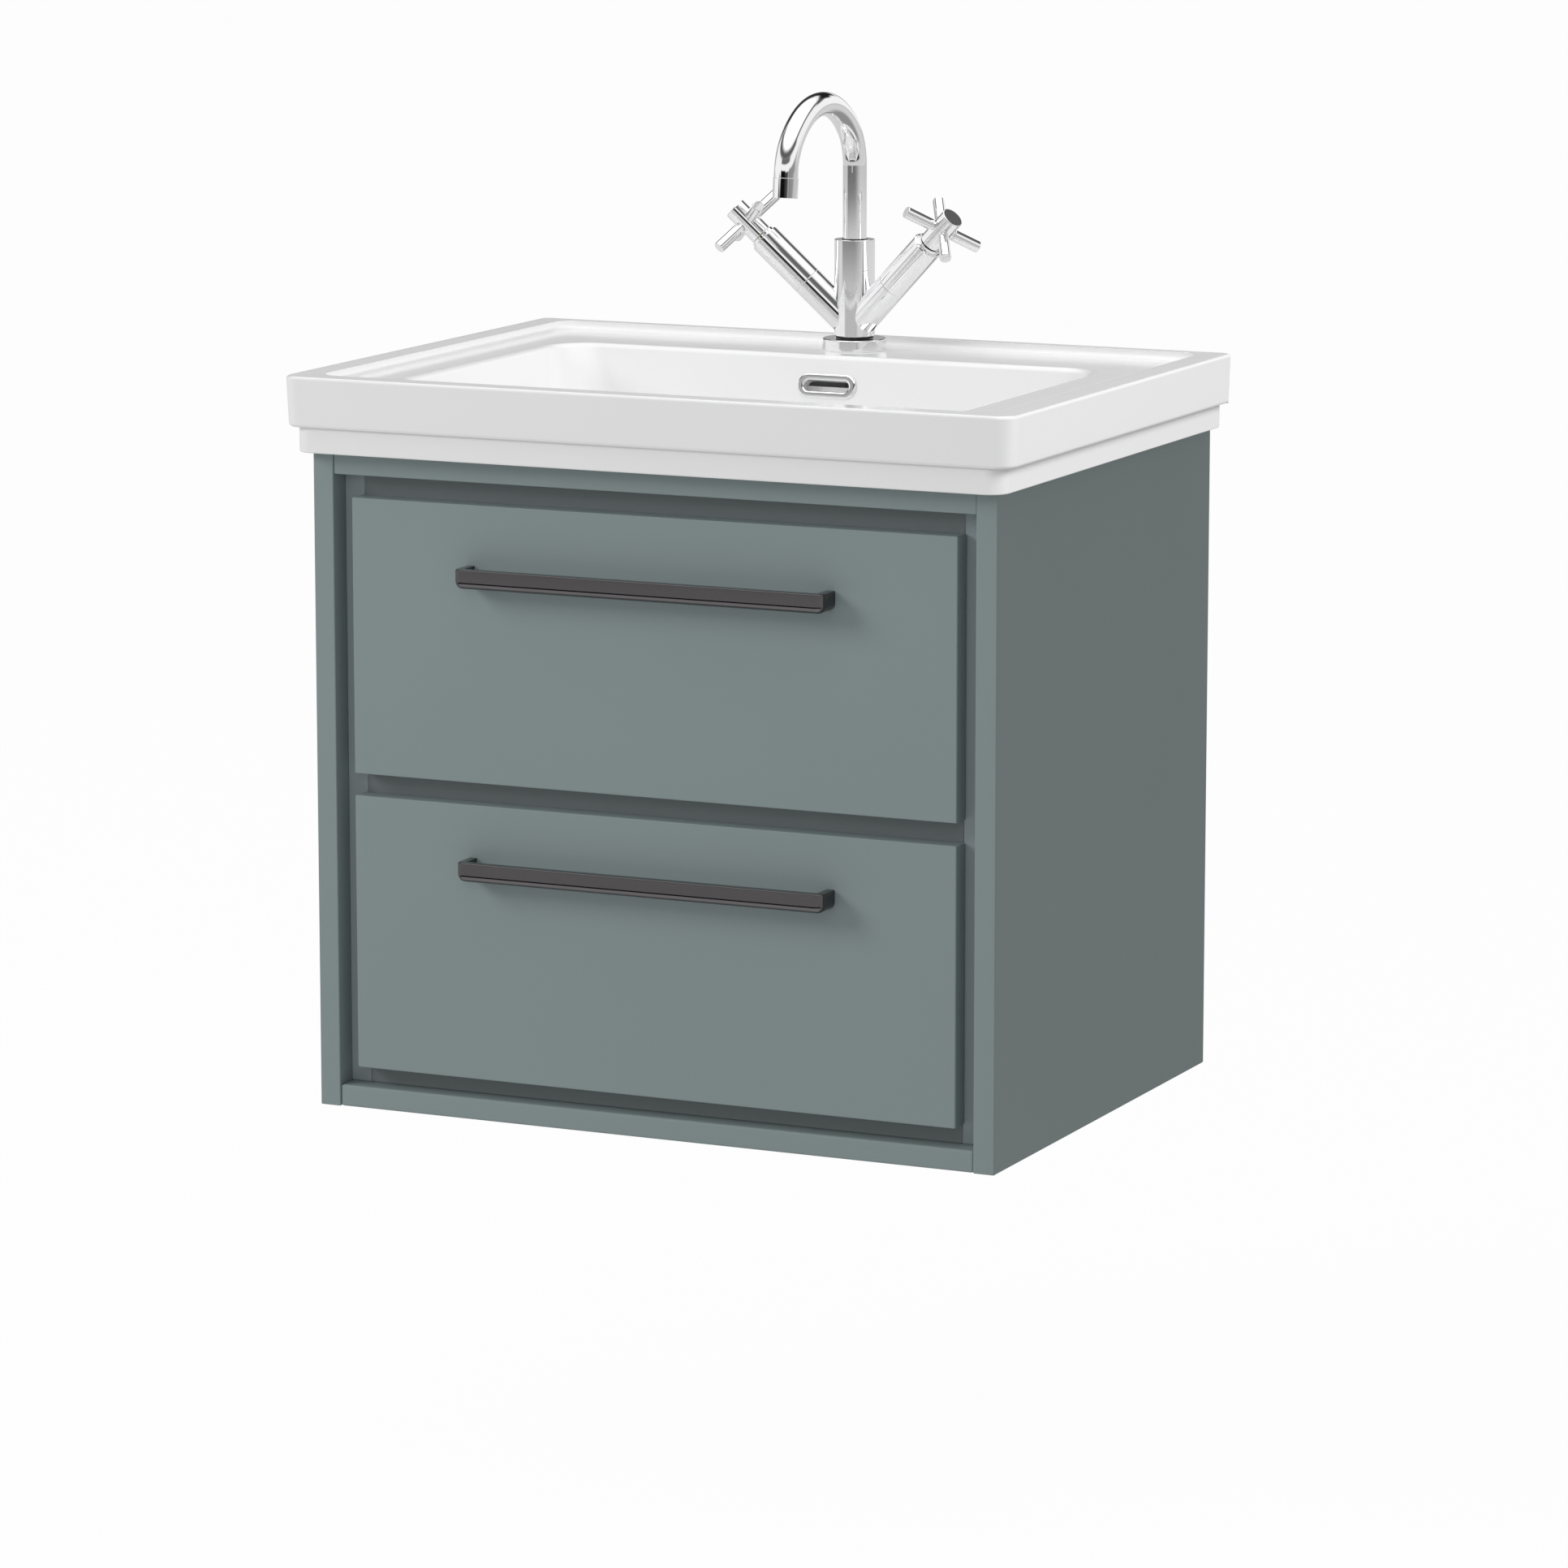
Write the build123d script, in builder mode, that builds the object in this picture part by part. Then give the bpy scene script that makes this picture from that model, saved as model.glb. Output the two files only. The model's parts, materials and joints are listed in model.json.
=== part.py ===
from build123d import *
from math import atan2, cos, degrees, radians, sin, tan
import os

os.makedirs("parts", exist_ok=True)

# The wall is the plane y = 0, the front looks towards -y, and the origin is the middle of the hanging rail.

# Carcass of painted boards
cab_width = 600.0
cab_height = 540.0
cab_depth = 450.0
board = 18.0
edge_radius = 1.0           # eased front edges of the boards
floor_edge_radius = 3.0     # rounder nose of the bottom panel
rail_setback = 1.0          # rails stand this far behind the side panels' front edges
frame_recess = 20.5         # face of the inner frame, behind the carcass front
inner_rail_height = 36.0
hang_rail_height = 100.0
back_rail_height = 100.0
wall_hole_spacing = 400.0
wall_hole_dia = 9.0
dowel_dia = 8.0
dowel_length = 30.0
dowel_in_panel = 10.0
dowel_margin = 45.0         # from a board's end to its outer dowels
rail_dowel_pitch = 60.0
dowel_clear = 0.1

# Drawer fronts and handles
side_reveal = 16.0          # between a drawer front and the side panels
front_thickness = 18.0
front_setback = 1.5         # drawer front face, behind the carcass front
front_radius = 2.0
bottom_reveal = 16.0
middle_reveal = 18.0
top_reveal = 18.0
handle_length = 324.0
handle_height = 16.0
handle_projection = 25.0
handle_bar = 7.0            # thickness of the long bar
handle_leg = 9.0            # thickness of a leg
handle_bend = 7.0           # outer radius where the bar turns into a leg
handle_belly = 5.0          # round lower edge of the bar
handle_edge = 1.2
upper_handle_drop = 57.0    # from the top of the front to the middle of the bar
lower_handle_drop = 51.0

# Drawer boxes and runners
drawer_board = 15.0
base_board = 9.0
base_rise = 12.0            # base above the lower edge of the sides
groove = 5.0
box_back_gap = 22.5         # behind the boxes, up to the back rails
upper_box_drop = 26.0       # from the handle's screws down to the upper edge of the box
lower_box_drop = 11.0
rail_clear = 4.0            # box above the inner rail under it
runner_gap = 13.0
runner_height = 45.0
runner_sheet = 1.4
runner_clear = 0.4
runner_inset = 2.0          # runner end, behind the inner frame's face
runner_back_inset = 7.0     # other end, in front of the back of the box
runner_rise = 62.0          # runner's middle above the lower edge of the box
well_width = 124.0
well_front = 62.0           # from the waste's axis to the front of the pipe guard
well_radius = 34.0
guard_sheet = 4.0

# Screws
handle_screw_dia = 4.0
handle_screw_grip = 10.0    # thread length in the handle's leg
front_screw_dia = 4.0
front_screw_grip = 11.0     # thread length in the drawer front
front_screw_spacing = 360.0
front_screw_pitch = 60.0
front_screw_rise = 40.0
screw_head_dia = 8.0
screw_head_height = 2.5
screw_clear = 0.1

# Ceramic basin
basin_side_overhang = 19.0  # rim beside the carcass, on each side
basin_overhang = 20.0       # rim in front of the carcass front
step_height = 20.5
lip_height = 41.5
lip_draft = 2.0             # degrees, the lip narrows downwards
step_inset_side = 9.1
step_inset_front = 4.6
corner_radius = 15.0
wall_corner_radius = 6.0
rim_radius = 3.0
lip_under_radius = 4.0
rim_side = 24.0
rim_front = 22.0
rim_back = 12.0
tray_depth = 7.0
tray_corner = 16.0
tray_radius = 5.5           # cove round the tray's floor
rim_inner_radius = 1.2
deck_thickness = 13.0
seat_width = 26.0           # underside that stands on the carcass
bowl_width = 494.0
bowl_front_ledge = 31.0     # from the tray's front to the bowl
washer_clear = 2.0          # least room between the overflow way and the tap's clamping washer
bowl_corner = 34.0
bowl_depth = 108.0
bowl_side_run = 34.0        # how far the side walls come in on the way down
bowl_end_run = 35.0
bowl_floor_corner = 62.0
bowl_lip_radius = 5.0
bowl_floor_radius = 24.0
bowl_wall = 10.0

# Overflow way and waste
overflow_drop = 25.0        # below the tray
overflow_width = 54.0
overflow_height = 21.0
overflow_slot_width = 43.0
overflow_slot_height = 11.0
overflow_ring_thickness = 2.5
overflow_ring_edge = 0.8
overflow_ring_lap = 1.0     # ring reaches this far over the edge of the slot
duct_near = 7.0             # duct between these depths behind the bowl's surface
duct_far = 16.0
duct_wall = 6.0
duct_headroom = 9.0
waste_hole_dia = 46.0
waste_boss_dia = 84.0
waste_boss_height = 25.0
waste_thread_dia = 41.9
waste_bore_dia = 36.0
waste_length = 88.0
waste_flange_dia = 64.0
waste_flange = 3.0
waste_window_width = 16.0
waste_seal_dia = 66.0
waste_seal = 4.0
waste_nut_flats = 56.0
waste_nut = 9.0
thread_clear = 0.2
spider_drop = 44.0
spider_bar = 6.0
spider_hub_dia = 16.0
plug_dia = 58.0
plug_height = 6.0
plug_dome = 2.0
plug_gap = 0.4
plug_stem_dia = 8.0
plug_stem_clear = 0.08
plug_stem_length = 58.0

# Mixer tap
tap_setback = 53.0          # axis in front of the wall
tap_hole_dia = 35.0
tap_spigot = 10.0
tap_spigot_dia = 31.0
base_ring_dia = 54.0
base_ring_height = 10.0
base_ring_edge = 1.2
base_ring_clear = 0.25
neck_dia = 29.0
neck_height = 2.0
column_dia = 34.0
column_height = 93.0        # top of the column above the ledge
apex_height = 18.0          # where the two arm axes meet, above the ledge
arm_tilt = 46.0             # from the vertical
arm_sweep = 13.5            # towards the user
arm_dia = 26.0
arm_root = 56.0             # seam between body and sleeve, along the arm
sleeve_end = 107.5
sleeve_wall = 2.0
collar_dia = 21.5
collar_height = 2.5
cartridge_dia = 19.6
cartridge_seat = 14.0
cartridge_clear = 0.2
cartridge_end = 98.0
spindle_dia = 10.0
spindle_clear = 0.06
spindle_start = 90.0
spindle_grip = 12.0         # length held in the hub
hub_dia = 19.0
hub_gap = 0.5
hub_length = 32.0
hub_edge = 0.8
pin_place = 127.0           # pins cross the hub here, along the arm
pin_dia = 9.8
pin_reach = 36.5
pin_neck_dia = 7.0
pin_neck_seat = 3.0
pin_shoulder = 1.6
pin_edge = 0.8
pin_turn = 37.0             # rest angle of the pins round the arm
spout_dia = 20.0
spout_bore = 15.0
spout_reach = 137.0
spout_spring = 154.8        # where the arch starts, above the ledge
spout_crown = 210.4         # top of the arch's middle line, above the ledge
spout_side_radius = 45.0
spout_tip_tilt = 5.5        # the outlet points a little away from the wall
spout_tip_run = 4.0         # straight end of the spout
spout_shank_dia = 18.0
spout_shank_length = 24.0
spout_gap = 0.35
spout_fit = 0.05
aerator_dia = 20.8
aerator_height = 16.5
aerator_plate = 3.0
aerator_bore = 11.0
inlet_dia = 8.9
inlet_depth = 12.0
inlet_spacing = 16.0
inlet_offset = 4.0
stud_dia = 8.0
stud_length = 70.0
stud_seat = 10.0
stud_offset = 9.0
horseshoe_dia = 48.0
horseshoe_slot = 30.0
horseshoe_sheet = 3.0
stud_nut_flats = 13.0
stud_nut = 8.0

# Planes and places that several pieces share
base_z = hang_rail_height / 2 - cab_height
top_z = base_z + cab_height
floor_z = base_z + board
soffit_z = top_z - board
front_y = -cab_depth
rail_y = front_y + rail_setback
frame_y = front_y + frame_recess
frame_back_y = frame_y + board
panel_x = cab_width / 2 - board
liner_x = panel_x - board
back_rail_z = floor_z + back_rail_height / 2

face_y = front_y + front_setback
front_back_y = face_y + front_thickness
front_width = 2 * (panel_x - side_reveal)
front_height = (soffit_z - floor_z - bottom_reveal - middle_reveal - top_reveal) / 2
lower_front_z = floor_z + bottom_reveal
upper_front_z = lower_front_z + front_height + middle_reveal
middle_rail_z = upper_front_z - middle_reveal / 2
handle_y = face_y - handle_projection
handle_leg_x = handle_length / 2 - handle_leg / 2
upper_handle_z = upper_front_z + front_height - upper_handle_drop
lower_handle_z = lower_front_z + front_height - lower_handle_drop

box_x = liner_x - runner_gap
box_inner_x = box_x - drawer_board
inner_front_y = front_back_y + drawer_board
box_back_y = -board - box_back_gap
upper_box_z = middle_rail_z + inner_rail_height / 2 + rail_clear
lower_box_z = floor_z + inner_rail_height + rail_clear
upper_box_height = upper_handle_z - upper_box_drop - upper_box_z
lower_box_height = lower_handle_z - lower_box_drop - lower_box_z
runner_front_y = frame_y + runner_inset
runner_back_y = box_back_y - runner_back_inset
runner_length = runner_back_y - runner_front_y

rim_z = top_z + step_height + lip_height
tray_z = rim_z - tray_depth
deck_z = tray_z - deck_thickness
rim_y = front_y - basin_overhang
basin_width = cab_width + 2 * basin_side_overhang
tray_front_y = rim_y + rim_front
bowl_front_y = tray_front_y + bowl_front_ledge
tap_y = -tap_setback
bowl_back_y = tap_y - horseshoe_dia / 2 - washer_clear - duct_far - duct_wall
bowl_length = bowl_back_y - bowl_front_y
bowl_y = (bowl_front_y + bowl_back_y) / 2
bowl_floor_z = tray_z - bowl_depth
waste_y = bowl_y
boss_z = bowl_floor_z - waste_boss_height
well_front_y = waste_y - well_front

tap_plane = Plane(origin=(0, tap_y, tray_z))
ring_top = base_ring_height


def finish(piece, label):
    piece.part.label = label
    export_step(piece.part, "parts/" + label + ".step")


def slab(x0, x1, y0, y1, z0, z1, mode=Mode.ADD):
    with Locations(((x0 + x1) / 2, (y0 + y1) / 2, (z0 + z1) / 2)):
        Box(x1 - x0, y1 - y0, z1 - z0, mode=mode)


def drill_dowels(x, points, depth):
    with Locations(*[(x, y, z) for y, z in points]):
        Cylinder(dowel_dia / 2 + dowel_clear, 2 * depth, rotation=(0, 90, 0), mode=Mode.SUBTRACT)


# Carcass

floor_dowels = [(y, base_z + board / 2) for y in (front_y + dowel_margin, front_y / 2, -dowel_margin)]
top_dowels = [((rail_y + frame_back_y) / 2, top_z - board / 2)]
hang_dowels = [(-board / 2, side * rail_dowel_pitch / 2) for side in (-1, 1)]
back_dowels = [(-board / 2, back_rail_z + side * rail_dowel_pitch / 2) for side in (-1, 1)]
all_dowels = floor_dowels + top_dowels + hang_dowels + back_dowels
dowel_in_rail = dowel_length - dowel_in_panel

for side, name in ((-1, "left_side_panel"), (1, "right_side_panel")):
    with BuildPart() as side_panel:
        with Locations((side * (panel_x + board / 2), front_y / 2, base_z + cab_height / 2)):
            Box(board, cab_depth, cab_height)
        fillet(side_panel.edges().filter_by(Axis.Z).group_by(Axis.Y)[0], edge_radius)
        drill_dowels(side * panel_x, all_dowels, dowel_in_panel)
    finish(side_panel, name)

with BuildPart() as bottom_panel:
    slab(-panel_x, panel_x, rail_y, 0, base_z, floor_z)
    nose = bottom_panel.edges().filter_by(Axis.X).group_by(Axis.Y)[0]
    fillet(nose.sort_by(Axis.Z)[-1], floor_edge_radius)
    for side in (-1, 1):
        drill_dowels(side * panel_x, floor_dowels, dowel_in_rail)
finish(bottom_panel, "bottom_panel")

with BuildPart() as top_front_rail:
    slab(-panel_x, panel_x, rail_y, frame_back_y, soffit_z, top_z)
    nose = top_front_rail.edges().filter_by(Axis.X).group_by(Axis.Y)[0]
    fillet(nose.sort_by(Axis.Z)[0], edge_radius)
    for side in (-1, 1):
        drill_dowels(side * panel_x, top_dowels, dowel_in_rail)
finish(top_front_rail, "top_front_rail")


def back_rail(z, height, points):
    with BuildPart() as rail:
        slab(-panel_x, panel_x, -board, 0, z - height / 2, z + height / 2)
        with Locations(*[(side * wall_hole_spacing / 2, -board / 2, z) for side in (-1, 1)]):
            Cylinder(wall_hole_dia / 2, 2 * board, rotation=(90, 0, 0), mode=Mode.SUBTRACT)
        for side in (-1, 1):
            drill_dowels(side * panel_x, points, dowel_in_rail)
    return rail


finish(back_rail(0, hang_rail_height, hang_dowels), "hanging_rail")
finish(back_rail(back_rail_z, back_rail_height, back_dowels), "lower_back_rail")

with BuildPart() as carcass_dowels:
    middle = panel_x + dowel_in_panel - dowel_length / 2
    with Locations(*[(side * middle, y, z) for side in (-1, 1) for y, z in all_dowels]):
        Cylinder(dowel_dia / 2, dowel_length, rotation=(0, 90, 0))
finish(carcass_dowels, "carcass_dowels")

for side, name in ((-1, "left_runner_panel"), (1, "right_runner_panel")):
    with BuildPart() as runner_panel:
        near, far = sorted((side * liner_x, side * panel_x))
        slab(near, far, frame_y, -board, floor_z, soffit_z)
    finish(runner_panel, name)

inner_rails = {
    "top_inner_rail": soffit_z - inner_rail_height / 2,
    "middle_inner_rail": middle_rail_z,
    "bottom_inner_rail": floor_z + inner_rail_height / 2,
}
for name, z in inner_rails.items():
    with BuildPart() as inner_rail:
        slab(-liner_x, liner_x, frame_y, frame_back_y, z - inner_rail_height / 2, z + inner_rail_height / 2)
    finish(inner_rail, name)


# Telescopic runners: three nested channels on each side of a drawer

def runner_channel(x0, x1, half_height, open_inwards, z):
    with BuildPart() as channel:
        with BuildSketch(Plane.XZ.offset(-runner_back_y)):
            with Locations(((x0 + x1) / 2, z)):
                Rectangle(x1 - x0, 2 * half_height)
            shift = -runner_sheet if open_inwards else runner_sheet
            with Locations(((x0 + x1) / 2 + shift, z)):
                Rectangle(x1 - x0, 2 * (half_height - runner_sheet), mode=Mode.SUBTRACT)
        extrude(amount=runner_length)
        mirror(about=Plane.YZ)
    return channel


nest = runner_sheet + runner_clear
cabinet_half = runner_height / 2
middle_half = cabinet_half - nest
drawer_half = middle_half - nest
for tier, box_z in (("upper", upper_box_z), ("lower", lower_box_z)):
    runner_z = box_z + runner_rise
    lips_x = box_x + nest + runner_clear
    finish(runner_channel(lips_x, liner_x, cabinet_half, True, runner_z), tier + "_cabinet_runners")
    finish(runner_channel(lips_x, liner_x - nest, middle_half, True, runner_z), tier + "_middle_runners")
    inner_lip_x = liner_x - 2 * nest
    finish(runner_channel(box_x, inner_lip_x, drawer_half, False, runner_z), tier + "_drawer_runners")


# Drawers

def drawer_base(box_z, mode=Mode.ADD):
    reach = drawer_board - groove
    z = box_z + base_rise
    half = box_x - reach
    slab(-half, half, front_back_y + reach, box_back_y - reach, z, z + base_board, mode)


def well_outline(inset, z):
    with BuildSketch(Plane.XY.offset(z)) as outline:
        with Locations((0, (well_front_y + inset + box_back_y) / 2)):
            Rectangle(well_width - 2 * inset, box_back_y - well_front_y - inset)
        fillet(outline.vertices().group_by(Axis.Y)[0], well_radius - inset)
    return outline.sketch


def screw_set(points, head_y, length, dia):
    with BuildPart() as screws:
        with Locations(*[(x, head_y - length / 2, z) for x, z in points]):
            Cylinder(dia / 2, length, rotation=(90, 0, 0))
        with Locations(*[(x, head_y + screw_head_height / 2, z) for x, z in points]):
            Cylinder(screw_head_dia / 2, screw_head_height, rotation=(90, 0, 0))
    return screws


def screw_holes(points, back_y, length, dia):
    with Locations(*[(x, back_y - length / 2, z) for x, z in points]):
        Cylinder(dia / 2 + screw_clear, length, rotation=(90, 0, 0), mode=Mode.SUBTRACT)


def bow_handle(z):
    with BuildPart() as handle:
        with BuildSketch(Plane.XY.offset(z - handle_height / 2)):
            with BuildSketch(mode=Mode.PRIVATE) as bow:
                with Locations((0, (handle_y + face_y) / 2)):
                    Rectangle(handle_length, handle_projection)
                fillet(bow.vertices().group_by(Axis.Y)[0], handle_bend)
            with BuildSketch(mode=Mode.PRIVATE) as gap:
                with Locations((0, (handle_y + handle_bar + face_y) / 2)):
                    Rectangle(handle_length - 2 * handle_leg, handle_projection - handle_bar)
                fillet(gap.vertices().group_by(Axis.Y)[0], handle_bend / 2)
            add(bow.sketch)
            add(gap.sketch, mode=Mode.SUBTRACT)
        extrude(amount=handle_height)
        bar_face = handle.faces().sort_by(Axis.Y)[0]
        fillet(bar_face.edges().sort_by(Axis.Z)[0], handle_belly)
        bar_face = handle.faces().filter_by(Plane.XZ).sort_by(Axis.Y)[0]
        fillet(bar_face.edges().sort_by(Axis.Z)[-1], handle_edge)
        screw_holes(handle_points(z), face_y, 2 * handle_screw_grip, handle_screw_dia)
    return handle


def handle_points(z):
    return [(side * handle_leg_x, z) for side in (-1, 1)]


def make_drawer(tier, front_z, box_z, box_height, handle_z, has_well):
    box_top = box_z + box_height
    screw_zs = (box_z + front_screw_rise, box_z + front_screw_rise + front_screw_pitch)
    front_points = [(side * front_screw_spacing / 2, z) for side in (-1, 1) for z in screw_zs]

    with BuildPart() as front:
        slab(-front_width / 2, front_width / 2, face_y, front_back_y, front_z, front_z + front_height)
        fillet(front.faces().sort_by(Axis.Y)[0].edges(), front_radius)
        screw_holes(handle_points(handle_z), front_back_y, 3 * front_thickness, handle_screw_dia)
        screw_holes(front_points, front_back_y, front_screw_grip, front_screw_dia)
    finish(front, tier + "_drawer_front")

    with BuildPart() as inner_front:
        slab(-box_inner_x, box_inner_x, front_back_y, inner_front_y, box_z, box_top)
        drawer_base(box_z, Mode.SUBTRACT)
        screw_holes(front_points, inner_front_y, drawer_board, front_screw_dia)
    finish(inner_front, tier + "_drawer_inner_front")

    for side, name in ((-1, "_drawer_left_side"), (1, "_drawer_right_side")):
        with BuildPart() as box_side:
            near, far = sorted((side * box_inner_x, side * box_x))
            slab(near, far, front_back_y, box_back_y, box_z, box_top)
            drawer_base(box_z, Mode.SUBTRACT)
        finish(box_side, tier + name)

    base_z0 = box_z + base_rise
    with BuildPart() as base:
        drawer_base(box_z)
        if has_well:
            extrude(well_outline(0, base_z0), amount=base_board, mode=Mode.SUBTRACT)
    finish(base, tier + "_drawer_base")

    with BuildPart() as box_back:
        slab(-box_inner_x, box_inner_x, box_back_y - drawer_board, box_back_y, box_z, box_top)
        drawer_base(box_z, Mode.SUBTRACT)
        if has_well:
            extrude(well_outline(0, box_z), amount=box_height, mode=Mode.SUBTRACT)
    finish(box_back, tier + "_drawer_back")

    if has_well:
        with BuildPart() as pipe_guard:
            extrude(well_outline(0, base_z0), amount=box_top - base_z0)
            extrude(well_outline(guard_sheet, base_z0), amount=box_top - base_z0, mode=Mode.SUBTRACT)
        finish(pipe_guard, tier + "_drawer_pipe_guard")

    finish(bow_handle(handle_z), tier + "_handle")
    grip = front_thickness + handle_screw_grip
    finish(screw_set(handle_points(handle_z), front_back_y, grip, handle_screw_dia), tier + "_handle_screws")
    grip = drawer_board + front_screw_grip
    finish(screw_set(front_points, inner_front_y, grip, front_screw_dia), tier + "_front_screws")


make_drawer("upper", upper_front_z, upper_box_z, upper_box_height, upper_handle_z, True)
make_drawer("lower", lower_front_z, lower_box_z, lower_box_height, lower_handle_z, False)


# Basin: stepped apron, raised rim, sunk tray, bowl with a cast-in overflow way

level_band = 0.01           # within this of a height, a face lies at that height
wall_slope = atan2(bowl_end_run, bowl_depth)
bowl_back_floor_y = bowl_back_y - bowl_end_run


def basin_plan(half_width, y0, z, y1=0.0, front_corner=corner_radius, back_corner=wall_corner_radius):
    with BuildSketch(Plane.XY.offset(z)) as plan:
        with Locations((0, (y0 + y1) / 2)):
            Rectangle(2 * half_width, y1 - y0)
        rows = plan.vertices().group_by(Axis.Y)
        fillet(rows[0], front_corner)
        fillet(plan.vertices().group_by(Axis.Y)[-1], back_corner)
    return plan.sketch


def bowl_plan(z, grow):
    depth = (tray_z - z) / bowl_depth
    corner = bowl_corner + depth * (bowl_floor_corner - bowl_corner)
    with BuildSketch(Plane.XY.offset(z)) as plan:
        with Locations((0, bowl_y)):
            RectangleRounded(
                bowl_width - 2 * depth * bowl_side_run + 2 * grow,
                bowl_length - 2 * depth * bowl_end_run + 2 * grow,
                corner + grow,
            )
    return plan.sketch


def level_face(piece, z):
    # the largest of the level faces at a height
    level = piece.faces().filter_by(Axis.Z).filter_by_position(Axis.Z, z - level_band, z + level_band)
    return level.sort_by(SortBy.AREA)[-1]


def duct_outline(near, far, head_z):
    # side view of the overflow way, between two depths behind the bowl's back wall and floor
    def corner(depth):
        run = depth * (1 - sin(wall_slope)) / cos(wall_slope)
        return bowl_back_floor_y + run, bowl_floor_z - depth

    def head(depth):
        y, z = corner(depth)
        return y + (head_z - z) * tan(wall_slope), head_z

    with BuildSketch(Plane.YZ) as outline:
        with BuildLine():
            Polyline(
                (waste_y, bowl_floor_z - near),
                corner(near),
                head(near),
                head(far),
                corner(far),
                (waste_y, bowl_floor_z - far),
                close=True,
            )
        make_face()
    return outline.sketch


lip_z = top_z + step_height
step_x = basin_width / 2 - step_inset_side
step_y = rim_y + step_inset_front
lip_taper = lip_height * tan(radians(lip_draft))
overflow_z = tray_z - overflow_drop
overflow_y = bowl_back_y - overflow_drop * tan(wall_slope)
overflow_plane = Plane(
    origin=(0, overflow_y, overflow_z),
    x_dir=(1, 0, 0),
    z_dir=(0, -cos(wall_slope), sin(wall_slope)),
)

with BuildPart() as basin:
    extrude(basin_plan(step_x, step_y, top_z), amount=step_height)
    extrude(
        basin_plan(basin_width / 2 - lip_taper, rim_y + lip_taper, lip_z, y1=lip_height),
        amount=lip_height,
        taper=-lip_draft,
    )
    split(bisect_by=Plane.XZ, keep=Keep.TOP)
    fillet(basin.faces().sort_by(Axis.Z)[-1].edges(), rim_radius)
    under = basin.faces().filter_by(Axis.Z).group_by(Axis.Z)[1]
    lip_edge = under.edges().filter_by(Axis.X).sort_by(Axis.Y)[0]
    fillet(lip_edge, lip_under_radius)
    # sunk tray inside the raised rim
    tray_half = basin_width / 2 - rim_side
    extrude(
        basin_plan(tray_half, tray_front_y, tray_z, -rim_back, tray_corner, tray_corner),
        amount=tray_depth,
        mode=Mode.SUBTRACT,
    )
    tray_floor = basin.faces().filter_by(Axis.Z).group_by(Axis.Z)[-2].sort_by(SortBy.AREA)[-1]
    fillet(tray_floor.outer_wire().edges(), tray_radius)
    fillet(basin.faces().sort_by(Axis.Z)[-1].inner_wires().edges(), rim_inner_radius)
    # hollow underside, with a seat that stands on the carcass
    extrude(
        basin_plan(step_x - seat_width, step_y + seat_width, top_z, -seat_width),
        amount=deck_z - top_z,
        mode=Mode.SUBTRACT,
    )
    # bowl shell and the humps of waste and overflow way under it
    loft([bowl_plan(bowl_floor_z, bowl_wall), bowl_plan(tray_z - tray_radius, bowl_wall)])
    with BuildSketch(Plane.XY.offset(bowl_floor_z)):
        with Locations((0, bowl_y)):
            RectangleRounded(
                bowl_width - 2 * bowl_side_run + 2 * bowl_wall,
                bowl_length - 2 * bowl_end_run + 2 * bowl_wall,
                bowl_floor_corner + bowl_wall,
            )
    extrude(amount=-bowl_wall)
    with BuildSketch(Plane.XY.offset(boss_z)):
        with Locations((0, waste_y)):
            Circle(waste_boss_dia / 2)
    extrude(amount=waste_boss_height)
    hump = duct_outline(0, duct_far + duct_wall, deck_z)
    extrude(hump, amount=overflow_slot_width / 2 + duct_wall, both=True)
    # the bowl itself
    loft([bowl_plan(bowl_floor_z, 0), bowl_plan(tray_z, 0)], mode=Mode.SUBTRACT)
    fillet(level_face(basin, bowl_floor_z).edges(), bowl_floor_radius)
    fillet(level_face(basin, tray_z).inner_wires().edges(), bowl_lip_radius)
    # overflow slot and way, tap hole, waste hole
    duct = duct_outline(duct_near, duct_far, overflow_z + duct_headroom)
    extrude(duct, amount=overflow_slot_width / 2, both=True, mode=Mode.SUBTRACT)
    with BuildSketch(overflow_plane):
        SlotOverall(overflow_slot_width, overflow_slot_height)
    extrude(amount=-(duct_near + duct_far) / 2, mode=Mode.SUBTRACT)
    with Locations((0, tap_y, tray_z)):
        Hole(tap_hole_dia / 2, 2 * deck_thickness)
    with Locations((0, waste_y, bowl_floor_z)):
        Hole(waste_hole_dia / 2, 2 * waste_boss_height)
finish(basin, "basin")

with BuildPart() as overflow_ring:
    with BuildSketch(overflow_plane):
        SlotOverall(overflow_width, overflow_height)
        inner_width = overflow_slot_width - 2 * overflow_ring_lap
        inner_height = overflow_slot_height - 2 * overflow_ring_lap
        SlotOverall(inner_width, inner_height, mode=Mode.SUBTRACT)
    extrude(amount=overflow_ring_thickness)
    ring_face = overflow_ring.faces().sort_by(Axis(overflow_plane.origin, overflow_plane.z_dir))[-1]
    chamfer(ring_face.edges(), overflow_ring_edge)
finish(overflow_ring, "overflow_ring")


# Waste

waste_plane = Plane(origin=(0, waste_y, bowl_floor_z))
spider_z = -spider_drop

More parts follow.
